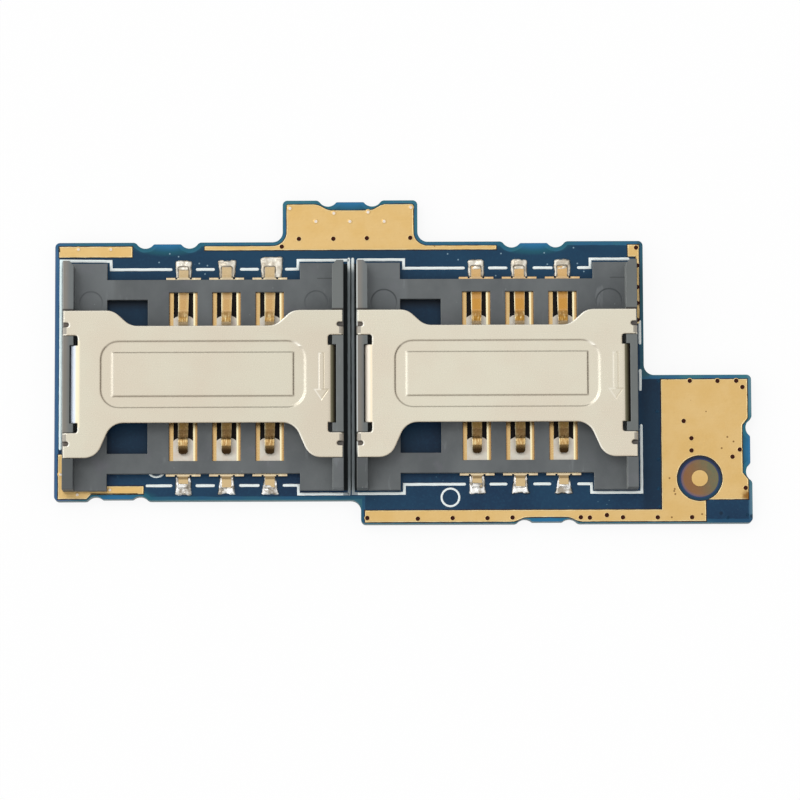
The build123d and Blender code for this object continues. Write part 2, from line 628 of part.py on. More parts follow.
# Folded cover about the housing's middle: a band with four lobes, flanges inside and flaps outside
with BuildPart() as cover:
    with BuildSketch(Plane.XY.offset(COVER_UNDERSIDE)) as cover_plan:
        lobe_x = HOUSING_WIDTH / 2 - COVER_SIDE_GAP
        lobe_north = LOBE_OFFSET + LOBE_LENGTH / 2
        lobe_south = LOBE_OFFSET - LOBE_LENGTH / 2
        with BuildLine():
            FilletPolyline(
                (0, BAND_LENGTH / 2),
                (NORTH_SHOULDER_INNER, BAND_LENGTH / 2),
                (NORTH_SHOULDER_OUTER, lobe_north),
                (lobe_x, lobe_north),
                radius=SHOULDER_RADIUS,
            )
            Line((lobe_x, lobe_north), (lobe_x, lobe_south))
            FilletPolyline(
                (lobe_x, lobe_south),
                (SOUTH_SHOULDER_OUTER, lobe_south),
                (SOUTH_SHOULDER_INNER, -BAND_LENGTH / 2),
                (0, -BAND_LENGTH / 2),
                radius=SHOULDER_RADIUS,
            )
            mirror(about=Plane.YZ)
        make_face()
        for side in (-1, 1):
            # Everything outside the flange's fold between the far ends of the two notches
            with Locations((side * (FOLD_X + HOUSING_WIDTH / 2) / 2, LOBE_OFFSET)):
                Rectangle(HOUSING_WIDTH / 2 - FOLD_X, 2 * FLAP_START, mode=Mode.SUBTRACT)
            notch_corners = cover_plan.vertices().filter_by(lambda v: isclose(v.X, side * FOLD_X))
            fillet(notch_corners, NOTCH_CORNER_RADIUS)
            for end in (-1, 1):
                # Flat sheet ends where a flap folds down
                flap_y = LOBE_OFFSET + end * (FLAP_START + FLAP_END) / 2
                with Locations((side * (FLAP_FOLD_X + HOUSING_WIDTH / 2) / 2, flap_y)):
                    Rectangle(
                        HOUSING_WIDTH / 2 - FLAP_FOLD_X, FLAP_END - FLAP_START, mode=Mode.SUBTRACT
                    )
                # Small round-ended relief notch
                notch_y = LOBE_OFFSET + end * SMALL_NOTCH_SPACING / 2
                with Locations((side * lobe_x, notch_y)):
                    SlotOverall(2 * SMALL_NOTCH_DEPTH, SMALL_NOTCH_WIDTH, mode=Mode.SUBTRACT)
    extrude(amount=COVER_SHEET)

    # Pressed ring round a raised plateau
    with BuildSketch(Plane.XY.offset(COVER_TOP)) as ring:
        RectangleRounded(EMBOSS_WIDTH, EMBOSS_LENGTH, EMBOSS_RADIUS)
        Rectangle(PLATEAU_WIDTH, PLATEAU_LENGTH, mode=Mode.SUBTRACT)
    extrude(amount=-EMBOSS_DEPTH, taper=EMBOSS_SLOPE, mode=Mode.SUBTRACT)
    with BuildSketch(Plane.XY.offset(COVER_UNDERSIDE)):
        add(ring.sketch)
    extrude(amount=-EMBOSS_DEPTH, taper=EMBOSS_SLOPE)

    # Long flanges that guide the card, and short flaps that grip the rails from outside
    with BuildSketch(Plane.XZ.offset(-LOBE_OFFSET)):
        with BuildLine():
            FilletPolyline(
                (FOLD_X - COVER_SHEET, COVER_MID),
                (FLANGE_OUTER - COVER_SHEET / 2, COVER_MID),
                (FLANGE_OUTER - COVER_SHEET / 2, FLANGE_BOTTOM),
                radius=FLANGE_BEND_RADIUS - COVER_SHEET / 2,
            )
        trace(line_width=COVER_SHEET)
    extrude(amount=FLANGE_HALF, both=True)
    for end in (-1, 1):
        flap_y = LOBE_OFFSET + end * (FLAP_START + FLAP_END) / 2
        with BuildSketch(Plane.XZ.offset(-flap_y)):
            with BuildLine():
                FilletPolyline(
                    (FLAP_FOLD_X - COVER_SHEET, COVER_MID),
                    (HOUSING_WIDTH / 2 - COVER_SHEET / 2, COVER_MID),
                    (HOUSING_WIDTH / 2 - COVER_SHEET / 2, FLAP_BOTTOM),
                    radius=FLAP_BEND_RADIUS - COVER_SHEET / 2,
                )
            trace(line_width=COVER_SHEET)
        extrude(amount=(FLAP_END - FLAP_START) / 2, both=True)
    mirror(about=Plane.YZ)

# Both sockets: housing, cover, six contacts and six solder joints each
for side_name, socket_x in SOCKETS.items():
    save(housing.part, f"housing_{side_name}", socket_x, SOCKET_Y)
    save(cover.part, f"cover_{side_name}", socket_x, SOCKET_Y)
    for number, (x, y, outwards) in enumerate(CONTACT_PLACES, start=1):
        place = (socket_x + x, SOCKET_Y + y)
        save(CONTACTS[outwards], f"contact_{side_name}_{number}", *place)
        save(SOLDERS[outwards], f"solder_{side_name}_{number}", *place)
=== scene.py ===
"""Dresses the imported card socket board: materials, print, solder, lights and camera.

Lengths are in millimetres in the part's own frame, and MM turns them into Blender's metres.
The two sockets are alike, so what belongs to a socket is written from that socket's middle.
"""
import math
import random
from functools import reduce

import bpy
from mathutils import Matrix, Vector, noise


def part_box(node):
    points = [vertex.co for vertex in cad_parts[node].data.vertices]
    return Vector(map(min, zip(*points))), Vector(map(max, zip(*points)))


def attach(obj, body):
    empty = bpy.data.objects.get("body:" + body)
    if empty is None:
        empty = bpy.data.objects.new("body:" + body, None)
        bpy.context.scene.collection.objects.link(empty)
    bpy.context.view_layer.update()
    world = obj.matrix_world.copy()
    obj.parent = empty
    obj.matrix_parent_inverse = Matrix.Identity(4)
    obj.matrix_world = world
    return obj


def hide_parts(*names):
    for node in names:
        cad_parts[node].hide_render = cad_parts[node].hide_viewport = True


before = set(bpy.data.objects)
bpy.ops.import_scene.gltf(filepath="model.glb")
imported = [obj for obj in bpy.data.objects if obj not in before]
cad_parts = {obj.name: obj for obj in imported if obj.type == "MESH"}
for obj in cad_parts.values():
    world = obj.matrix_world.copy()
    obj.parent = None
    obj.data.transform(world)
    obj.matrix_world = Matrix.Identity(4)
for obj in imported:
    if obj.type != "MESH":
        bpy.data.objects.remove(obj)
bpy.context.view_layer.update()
MM = 0.001


def extent(node):
    """Lowest and highest corner of a CAD node, in millimetres."""
    low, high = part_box(node)
    return Vector(low) / MM, Vector(high) / MM


# ---- places taken from the frame ----
board_low, board_high = extent("circuit_board")
WEST, SOUTH = board_low.x, board_low.y
EAST, NORTH, BOARD_TOP = board_high
MARK_LOW, MARK_HIGH = extent("alignment_mark")
MARK_X, MARK_Y = (MARK_LOW.x + MARK_HIGH.x) / 2, (MARK_LOW.y + MARK_HIGH.y) / 2
COPPER_TOP = MARK_HIGH.z
SIDES = ("left", "right")


def socket_middle(side):
    """The middle of a socket, which is that of its housing's outline."""
    low, high = extent(f"housing_{side}")
    return (low.x + high.x) / 2, (low.y + high.y) / 2


SOCKETS = {side: socket_middle(side) for side in SIDES}

# Board outline: the rectangles that it is made of, as west, south, east, north
SHOULDER_Y = 7.12
UPPER_EAST = 14.18
WING_TOP = -0.86
STRIP_X = -2.48
STRIP_TOP = -8.19
TAB_WEST, TAB_EAST = -7.06, 0.89
OUTLINE = (
    (WEST, STRIP_TOP, UPPER_EAST, SHOULDER_Y),
    (WEST, STRIP_TOP, EAST, WING_TOP),
    (STRIP_X, SOUTH, UPPER_EAST, SHOULDER_Y),
    (STRIP_X, SOUTH, EAST, WING_TOP),
    (TAB_WEST, STRIP_TOP, TAB_EAST, NORTH),
    (STRIP_X, SOUTH, TAB_EAST, NORTH),
)
# Where the board was broken out of its panel: middle on the edge, outward direction, depth
BREAK_SITES = (
    (-13.86, SHOULDER_Y, 0, 1, 0.36),
    (-3.08, NORTH, 0, 1, 0.36),
    (7.74, SHOULDER_Y, 0, 1, 0.36),
    (EAST, -5.3, 1, 0, 0.36),
    (8.42, SOUTH, 0, -1, 0.27),
    (-16.74, STRIP_TOP, 0, -1, 0.27),
)
BITE_RADIUS = 0.6
BITE_OFFSET = 1.3

# Where the contacts are in a socket, from its middle, and how far the shade round each row goes
PITCH = 2.54
COLUMN_X = 1.35
ROW_Y = 3.62
SHADE_HALF_X, SHADE_HALF_Y = 3.5, 1.5
# Window through the housing beside them
WINDOW_X, WINDOW_HALF_X, WINDOW_HALF_Y = -4.465, 1.195, 4.555
# Top of a contact's plate over the underside of its housing
PLATE_RISE = 0.2
PLATE_TOP = extent("housing_left")[0].z + PLATE_RISE
# Slot between the two sockets
SLOT_X = (SOCKETS["left"][0] + SOCKETS["right"][0]) / 2
SLOT_Y, SLOT_HALF_X, SLOT_HALF_Y = -0.9, 0.4, 6.7

# Dust and stains on the mask, and specks on the gold
DUST = (
    (-13.72, 6.45), (-14.35, 5.94), (-11.98, 5.87), (-11.64, 5.24), (-11.5, 5.74), (-13.2, 6.28),
    (2.67, 6.39), (3.29, 6.04), (5.82, 6.4), (8.37, 6.43), (10.1, 6.73), (8.55, 5.75),
    (10.32, 5.79), (10.7, 5.31), (5.5, 5.08),
)
STAINS = ((18.62, -9.05), (20.42, -9.22), (16.95, -8.6))
COPPER_SPECKS = (
    (15.62, -6.97), (15.92, -7.61), (15.89, -7.73), (15.95, -7.91), (18.7, -5.21), (19.4, -4.82),
    (19.04, -4.55), (17.51, -9.1), (15.73, -9.28), (20.31, -1.55), (19.96, -5.33), (20.27, -2.07),
)
COPPER_STAIN = (20.17, -8.01)


# ---- shader helpers ----
def colour(code):
    """A colour code turned into the linear values that shaders take."""
    parts = [int(code[i:i + 2], 16) / 255 for i in (1, 3, 5)]
    return [p / 12.92 if p <= 0.04045 else ((p + 0.055) / 1.055) ** 2.4 for p in parts] + [1.0]


def add_node(tree, kind, inputs, **settings):
    """A new shader node: its settings, and its inputs by name or number, each linked or set."""
    node = tree.nodes.new(kind)
    for key, value in settings.items():
        setattr(node, key, value)
    for key, value in inputs.items():
        value = value.socket if isinstance(value, Field) else value
        if isinstance(value, bpy.types.NodeSocket):
            tree.links.new(value, node.inputs[key])
        else:
            node.inputs[key].default_value = colour(value) if isinstance(value, str) else value
    return node


def split_axes(tree, vector):
    """The three parts of a vector as fields."""
    node = add_node(tree, "ShaderNodeSeparateXYZ", {0: vector})
    return [Field(tree, out) for out in node.outputs]


def blank_tree(owner):
    """The node tree of a material or a world, emptied."""
    owner.use_nodes = True
    owner.node_tree.nodes.clear()
    return owner.node_tree


class Field:
    """A number at each point of a surface: the output of a shader node, with arithmetic."""

    def __init__(self, tree, socket):
        self.tree, self.socket = tree, socket

    def math(self, operation, *others):
        inputs = dict(enumerate((self,) + others))
        node = add_node(self.tree, "ShaderNodeMath", inputs, operation=operation)
        return Field(self.tree, node.outputs[0])

    def __add__(self, other):
        return self.math("ADD", other)

    def __sub__(self, other):
        return self.math("SUBTRACT", other)

    def __mul__(self, other):
        return self.math("MULTIPLY", other)

    def __truediv__(self, other):
        return self.math("DIVIDE", other)

    def __neg__(self):
        return self.math("MULTIPLY", -1.0)

    def abs(self):
        return self.math("ABSOLUTE")

    def min(self, other):
        return self.math("MINIMUM", other)

    def max(self, other):
        return self.math("MAXIMUM", other)

    def hypot(self, other):
        """The straight distance to a point this far off one way and other far off across it."""
        return (self * self + other * other).math("SQRT")

    def ramp(self, start, end):
        """0 at start and 1 at end, turning smoothly between them."""
        falls = start > end
        node = add_node(self.tree, "ShaderNodeMapRange", {
            "Value": self, "From Min": min(start, end), "From Max": max(start, end),
            "To Min": float(falls), "To Max": float(not falls)}, interpolation_type="SMOOTHSTEP")
        return Field(self.tree, node.outputs["Result"])

    def band(self, middle, half, soft):
        """1 within half of middle, falling to 0 over soft more."""
        return (self - middle).abs().ramp(half + soft, half)


class Surface:
    """One procedural material round a Principled shader.

    Places are in millimetres, x and y from the middle that is given, and tone is its colour so far.
    """

    def __init__(self, name, middle=(0.0, 0.0), **constants):
        self.material = bpy.data.materials.new(name)
        self.tree = blank_tree(self.material)
        self.shader = self.add("ShaderNodeBsdfPrincipled", {
            key.replace("_", " "): value for key, value in constants.items()})
        self.add("ShaderNodeOutputMaterial", {0: self.shader.outputs[0]})
        place = self.add("ShaderNodeTexCoord", {}).outputs["Object"]
        self.place = self.add("ShaderNodeVectorMath", {0: place, "Scale": 1 / MM},
                              operation="SCALE").outputs[0]
        x, y, self.z = split_axes(self.tree, self.place)
        self.x, self.y = x - middle[0], y - middle[1]

    def add(self, kind, inputs, **settings):
        """A new node in the material's own tree."""
        return add_node(self.tree, kind, inputs, **settings)

    def facing_up(self):
        """1 on faces that lie flat, up or down, and 0 on upright ones."""
        normal = self.add("ShaderNodeNewGeometry", {}).outputs["True Normal"]
        return split_axes(self.tree, normal)[2].abs().ramp(0.55, 0.75)

    def stretched(self, x, y, z):
        """The place with each axis scaled by its own amount, for streaks."""
        node = self.add("ShaderNodeVectorMath", {0: self.place, 1: (x, y, z)},
                        operation="MULTIPLY")
        return node.outputs[0]

    def noise(self, scale, detail=3.0, rough=0.5, place=None, seed=0.0):
        """Cloudy noise from 0 to 1 with scale features to the millimetre."""
        node = self.add("ShaderNodeTexNoise", {
            "Vector": place or self.place, "W": seed, "Scale": scale, "Detail": detail,
            "Roughness": rough}, noise_dimensions="4D")
        return Field(self.tree, node.outputs[0])

    def specks(self, scale, size, share, seed=0.0):
        """Small separate specks, on a share of the surface that a slow noise picks."""
        cells = self.add("ShaderNodeTexVoronoi", {"Vector": self.place, "Scale": scale})
        dots = Field(self.tree, cells.outputs["Distance"]).ramp(size, size * 0.5)
        picked = self.noise(0.35, 1.0, seed=seed).ramp(1.0 - share, 1.02 - share)
        return dots * picked

    def from_point(self, x, y):
        """Distance in plan from a point, in millimetres."""
        return (self.x - x).hypot(self.y - y)

    def near(self, points, radius):
        """1 at the middle of a spot round each of the points, and 0 beyond radius."""
        nearest = reduce(Field.min, [self.from_point(x, y) for x, y in points])
        return nearest.ramp(radius, radius * 0.6)

    def inside(self, x, y, half_x, half_y, soft=0.02):
        """1 within a rectangle round a middle, falling to 0 over soft beyond it."""
        return self.x.band(x, half_x, soft) * self.y.band(y, half_y, soft)

    def mix(self, factor, first, second):
        """A colour between two, each written as a code or the output of another mix."""
        node = self.add("ShaderNodeMix", {0: factor, 6: first, 7: second}, data_type="RGBA")
        return node.outputs[2]

    def coat(self, factor, tint):
        """Lays a colour over the surface as far as a factor says."""
        self.tone = self.mix(factor, self.tone, tint)

    def paint(self, socket, value):
        """Links a colour or a field to one of the shader's sockets."""
        source = value.socket if isinstance(value, Field) else value
        self.tree.links.new(source, self.shader.inputs[socket])

    def edges(self, radius):
        """Rounds the edges, and gives how far the rounded surface faces east and north."""
        node = self.add("ShaderNodeBevel", {"Radius": radius * MM}, samples=6)
        self.rounded = node.outputs[0]
        return split_axes(self.tree, self.rounded)[:2]

    def complete(self, roughness, height, depth):
        """Gives the material its colour, roughness and relief.

        The relief is a field, 1 standing depth proud, over the rounded edges.
        """
        self.paint("Base Color", self.tone)
        self.paint("Roughness", roughness)
        bump = self.add("ShaderNodeBump", {
            "Distance": depth * MM, "Height": height, "Normal": self.rounded})
        self.paint("Normal", bump.outputs[0])
        return self.material


# ---- materials ----
# Rim of the board with no copper under the mask: where it starts and is full, from the outline
RIM_START, RIM_FULL = 0.27, 0.2
# Rings round the alignment mark: opening in the mask, copper cleared away, bare laminate
MARK_OPENING, MARK_CLEARED, MARK_BARE = 1.42, 1.36, 1.14
# Mask with less light on it, beside the right socket
DIM_X, DIM_HALF = 15.0, 0.7
# How far the glow of the laminate reaches from the middle of a break-off site, along and across
GLOW_ALONG, GLOW_ACROSS = 1.75, 0.6


def edge_distance(s):
    """How far a point of the board is inside its outline."""
    reaches = [(s.x - west).min(-(s.x - east)).min(s.y - south).min(-(s.y - north))
               for west, south, east, north in OUTLINE]
    inside = reduce(Field.max, reaches)
    for x, y, out_x, out_y, depth in BREAK_SITES:
        back = BITE_RADIUS - depth
        for step in (-BITE_OFFSET, BITE_OFFSET):
            bite = s.from_point(x + out_x * back + out_y * step, y + out_y * back + out_x * step)
            inside = inside.min(bite - BITE_RADIUS)
    return inside


def rim_tone(s, inside):
    """Mask with no copper under it: teal, greyer or bluer from side to side."""
    west = s.x.ramp(WEST + 1.5, WEST + 0.2)
    tone = s.mix(s.noise(0.9, 3.0, seed=9.0).ramp(0.35, 0.7), "#2a6285", "#35727e")
    for factor, tint in (
        # Lower strip, west, outermost line, shoulders of the tab
        (s.y.ramp(STRIP_TOP + 1.19, STRIP_TOP - 0.01) * 0.75, "#1b4a68"),
        (west * 0.8, "#3a6390"),
        (inside.ramp(0.1, 0.03) * 0.6, s.mix(west, "#3c727c", "#5b6a8c")),
        (s.y.ramp(SHOULDER_Y - 0.72, SHOULDER_Y - 0.12)
         * s.y.ramp(SHOULDER_Y + 0.78, SHOULDER_Y + 0.38) * 0.5, "#1f5878"),
        # Edge above the wing, eastern edge, south-eastern corner
        (s.x.band(UPPER_EAST, 0.3, 0.05) * s.y.ramp(WING_TOP - 0.34, WING_TOP + 0.06) * 0.6,
         "#2b4f58"),
        (s.x.ramp(EAST - 0.3, EAST - 0.05) * 0.5, "#6f8d99"),
        (s.x.ramp(17.5, 18.5) * s.y.ramp(-9.0, -9.3) * 0.8, "#1a4666"),
    ):
        tone = s.mix(factor, tone, tint)
    return tone


def coat_mark(s):
    """Colours the rings round the alignment mark, and gives the distance from its middle."""
    ring = s.from_point(MARK_X, MARK_Y)
    slope = (s.x - MARK_X) * 0.7 + (s.y - MARK_Y) * 0.25
    bare = s.mix(slope.ramp(-0.5, 0.8), "#8a6242", "#6c6e54")
    bare = s.mix(s.noise(3.0, 3.0, seed=12.0).ramp(0.4, 0.75) * 0.35, bare, "#8f6c48")
    bare = s.mix(ring.ramp(0.9, 1.1) * slope.ramp(0.4, -0.6) * 0.6, bare, "#5c5f86")
    cleared = s.mix((s.y - MARK_Y).ramp(-0.9, 0.9), "#1c4056", "#202c42")
    s.coat(ring.ramp(MARK_OPENING, MARK_CLEARED), "#0e1826")
    s.coat(ring.ramp(MARK_CLEARED, MARK_CLEARED - 0.04), cleared)
    s.coat(ring.band(MARK_BARE, 0.02, 0.03) * 0.5, "#35427a")
    s.coat(ring.ramp(MARK_BARE, MARK_BARE - 0.08), bare)
    return ring


def board_surface():
    """Blue solder mask over copper and laminate, with what shows through it."""
    s = Surface("board_mask", Specular_IOR_Level=0.16)
    inside = edge_distance(s)
    cloud = s.noise(0.22, 2.0)
    fine = s.noise(7.0, 4.0, 0.6, seed=3.0)
    # Mask over copper, then the rim where there is no copper under it
    mask = s.mix(cloud.ramp(0.35, 0.65), "#112c48", "#173b57")
    mask = s.mix(fine.ramp(0.45, 0.75) * 0.35, mask, "#22506b")
    mask = s.mix(s.y.ramp(3.0, 6.0) * 0.5, mask, "#16415c")
    rim = rim_tone(s, inside)
    wander = (s.noise(1.3, 2.0, seed=5.0) - 0.5) * 0.12
    bare_rim = (inside + wander).ramp(RIM_START, RIM_FULL)
    dim = s.x.band(DIM_X, DIM_HALF, 0.5) * 0.45
    s.tone = s.mix(bare_rim, s.mix(dim, mask, "#0c1d2c"), rim)
    # Light comes through the bare laminate at the stubs, greener beside the scallops
    spots = []
    for x, y, _, out_y, _ in BREAK_SITES:
        wide, deep = (GLOW_ALONG, GLOW_ACROSS) if out_y else (GLOW_ACROSS, GLOW_ALONG)
        spots.append(((s.x - x) / wide).hypot((s.y - y) / deep))
    glow = reduce(Field.min, spots)
    s.coat(glow.ramp(1.5, 1.0) * 0.6, "#1d5f6c")
    s.coat(glow.ramp(1.1, 0.3) * 0.8, "#28709f")
    # Deep shade under the cut-outs of the contacts and in the slot between the sockets
    for x, y in SOCKETS.values():
        for row in (-ROW_Y, ROW_Y):
            s.coat(s.inside(x + COLUMN_X, y + row, SHADE_HALF_X, SHADE_HALF_Y), "#120a07")
    s.coat(s.inside(SLOT_X, SLOT_Y, SLOT_HALF_X, SLOT_HALF_Y, 0.05), "#0e1618")
    # Shadow of the housing in the windows
    for x, y in SOCKETS.values():
        window = s.inside(x + WINDOW_X, y, WINDOW_HALF_X + 0.05, WINDOW_HALF_Y + 0.05)
        deep = (s.y - y).ramp(WINDOW_HALF_Y - 0.7, WINDOW_HALF_Y).max(
            (s.x - x - WINDOW_X).ramp(-WINDOW_HALF_X + 0.35, -WINDOW_HALF_X) * 0.5)
        s.coat(window * (deep * 0.6 + 0.3), "#0a131c")
    ring = coat_mark(s)
    # Dust and pinholes in the mask
    s.coat(s.specks(2.4, 0.09, 0.4, 1.0) * 0.7, "#5d8396")
    s.coat(s.near(DUST, 0.055) * 0.6, "#9dbccb")
    s.coat(s.near(STAINS, 0.13) * 0.6, "#0c1c2b")
    # The underside, which the photograph does not show, has plain mask
    s.tone = s.mix(s.z.ramp(BOARD_TOP * 0.4, BOARD_TOP * 0.6), s.mix(bare_rim, mask, rim), s.tone)
    # Cut edges are as dark as the mask, with the layers of the laminate just showing
    layers = s.noise(1.0, 3.0, 0.6, s.stretched(0.8, 0.8, 16.0), 2.0)
    side = s.mix(layers.ramp(0.35, 0.65), "#1d4450", "#2f5a58")
    lip = (s.z - BOARD_TOP / 2).abs().ramp(BOARD_TOP / 2 - 0.07, BOARD_TOP / 2 - 0.045)
    side = s.mix(lip, side, "#1f5a7c")
    s.tone = s.mix(s.facing_up(), side, s.tone)
    hollow = ring.ramp(MARK_BARE - 0.01, MARK_BARE - 0.05)
    s.edges(0.04)
    return s.complete(fine * 0.2 + 0.3 + hollow * 0.2,
                      fine * 0.25 + bare_rim * -0.6 + hollow * -0.9, 0.02)


def copper_surface(name, low, high):
    """Gold-flashed copper: satin, faintly mottled, with fine pits and scratches."""
    s = Surface(name, Metallic=1.0, Specular_IOR_Level=0.5)
    patches = s.noise(0.8, 4.0, 0.55)
    grain = s.noise(9.0, 3.0, 0.6, seed=4.0)
    s.tone = s.mix(patches.ramp(0.3, 0.7), low, high)
    s.coat(grain.ramp(0.55, 0.8) * 0.3, "#c9a264")
    pits = s.specks(1.6, 0.07, 0.4, 6.0)
    s.coat(pits, "#8a6334")
    stain = s.from_point(*COPPER_STAIN) + (s.noise(5.0, 3.0, seed=8.0) - 0.5) * 0.3
    s.coat(stain.ramp(0.42, 0.08), "#8c6230")
    s.coat(s.near(COPPER_SPECKS, 0.07) * 0.8, "#6f4a26")
    scratches = s.noise(1.6, 2.0, 0.5, s.stretched(1.0, 9.0, 1.0), 3.0)
    s.edges(0.03)
    return s.complete(grain * 0.16 + patches * 0.1 + 0.3,
                      grain * 0.5 + scratches * 0.5 - pits, 0.012)


# Places on a housing, from the socket's middle: middle of the cover's lobes, small notches beyond
# it, inner side of the rails, outer edge, paler entry block, painted shadow line where the cover
# stands off
LOBE_Y = -0.57
NOTCH_Y = 3.5
RAIL_X = 7.5
RAIL_OUTER = 8.19
BLOCK_X, BLOCK_Y = -5.1, 3.7
STAND_OFF_Y = 3.84
# The step in the mould across the eastern block, with a line of painted shade along it
STEP_X, STEP_Y, STEP_HALF = 7.12, 5.8, 0.42
# Rings that the ejector pins left, and how dark they are
PIN_X = 6.63
PIN_Y = 4.37
PIN_RADIUS = {"left": 0.67, "right": 0.75}
PIN_SHADE = {"left": 0.45, "right": 0.8}
# How bright the western edge is
WEST_GLINT = {"left": 0.25, "right": 0.85}
FLOW_SEED = {"left": 1.0, "right": 5.0}


def housing_surface(side):
    """Dark grey moulded plastic with faint flow marks and the rings of the ejector pins."""
    s = Surface(f"housing_plastic_{side}", SOCKETS[side], Specular_IOR_Level=0.25)
    x, y = s.x, s.y
    flow = s.noise(0.45, 4.0, 0.55, s.stretched(1.0, 0.7, 1.0), FLOW_SEED[side])
    grain = s.noise(14.0, 3.0, 0.65, seed=2.0)
    s.tone = s.mix(flow.ramp(0.3, 0.72), "#585c5e", "#686c6d")
    s.coat(s.noise(0.9, 2.0, seed=7.0).ramp(0.55, 0.75) * 0.4, "#6c6a72")
    s.coat(grain.ramp(0.6, 0.85) * 0.4, "#7c8081")
    # The rails are a little paler, but darker in the south-west, past the cover
    rail = x.abs().ramp(RAIL_X, RAIL_X + 0.15)
    upper = y.ramp(-4.9, -4.3)
    s.coat(rail * (upper * 0.4 + 0.05), "#777b77")
    s.coat(rail * x.ramp(0.0, -1.0) * (-upper + 1.0) * 0.6, "#474b4b")
    block = y.ramp(BLOCK_Y, BLOCK_Y + 0.5) * x.ramp(BLOCK_X, BLOCK_X - 0.3)
    s.coat(block * 0.4, "#777c7e")
    # Painted highlight on edges that face west, and painted shade on edges that face east or south
    to_east, to_north = s.edges(0.07)
    s.coat(to_east.ramp(-0.1, -0.5) * 0.45, "#a3a7a4")
    s.coat(to_east.ramp(0.1, 0.5).max(to_north.ramp(-0.1, -0.5)) * 0.3, "#33363a")
    # The left rail has a painted warm highlight towards its outer edge, and painted shade under the
    # small notches
    s.coat(x.ramp(-7.75, -8.1) * upper * 0.5, "#94897c")
    notches = (s.inside(0.0, LOBE_Y, RAIL_OUTER + 0.01, NOTCH_Y + 0.15, 0.1)
               * (y - LOBE_Y).abs().ramp(NOTCH_Y - 0.25, NOTCH_Y - 0.15)
               * x.abs().ramp(RAIL_X + 0.1, RAIL_X + 0.2))
    s.coat(notches * 0.6, "#4e4038")
    # Painted glint where light catches the western edge, and a painted shadow line where the cover
    # stands off the rails
    glint = x.ramp(-RAIL_OUTER + 0.05, -RAIL_OUTER) * y.ramp(7.2, 6.4) * upper
    s.coat(glint * WEST_GLINT[side], "#d4d9d6")
    stand_off_shadow = x.abs().ramp(6.6, 7.4) * y.band(STAND_OFF_Y, 0.02, 0.05)
    s.coat(stand_off_shadow * 0.75, "#2b2420")
    streaks = s.noise(1.1, 3.0, 0.55, s.stretched(2.4, 0.5, 1.0), 4.0).ramp(0.62, 0.72)
    s.coat(streaks * 0.3, "#84888a")
    s.coat(s.specks(2.0, 0.06, 0.5, 3.0) * 0.7, "#a3a9a8")
    # Ejector pins left rings on the two blocks at the entry
    pin = (x.abs() - PIN_X).hypot(y - PIN_Y)
    groove = pin.band(PIN_RADIUS[side], 0.01, 0.06) * y.ramp(PIN_Y - 0.7, PIN_Y + 0.5)
    s.coat(groove * PIN_SHADE[side], "#3c4042")
    # A line of painted shade along the step in the mould
    s.coat(s.inside(STEP_X, STEP_Y, STEP_HALF, 0.015, 0.03) * 0.6, "#3a3c3d")
    sunk = pin.ramp(PIN_RADIUS[side], PIN_RADIUS[side] - 0.05)
    relief = grain * 0.4 + flow * 0.3 - groove * 0.8 - sunk * 0.4
    return s.complete(grain * 0.25 + 0.42, relief, 0.02)


# Places on a cover, from its middle: embossed area, western flank of its plateau, end of the flat
# sheet, tongues between notch and slot, half a slot, and where the eastern fold starts and ends
EMBOSS_HALF_X, EMBOSS_HALF_Y = 6.1, 2.2
FLANK_X = -5.2
SHEET_END = 7.96
TONGUE_Y, TONGUE_HALF = 3.17, 0.2
SLOT_HALF = 2.6
FOLD_EAST, FOLD_EAST_END = 7.44, 7.74
# The stamped arrow, from the socket's middle
ARROW_X = 6.93
ARROW_SHAFT_TOP = 1.21
ARROW_BARBS_Y = -0.92
ARROW_TIP_Y = -1.5
ARROW_HALF_SHAFT = 0.145
ARROW_HALF_HEAD = 0.4
GROOVE_HALF = 0.03
# Western fold: where it starts and is full, and its colours inside and outside
FOLD_WEST = {
    "left": (-7.15, -7.3, "#fff3d2", "#eaf3ff"),
    "right": (-7.28, -7.36, "#fbeacd", "#fff4e2"),
}
# Darkest and palest colour of the sheet, and how clearly the arrow is stamped
COVER_TONES = {"left": ("#d6ccb9", "#d8d2bf"), "right": ("#dbd1be", "#ddd7c4")}
ARROW_DEPTH = {"left": 1.0, "right": 0.72}


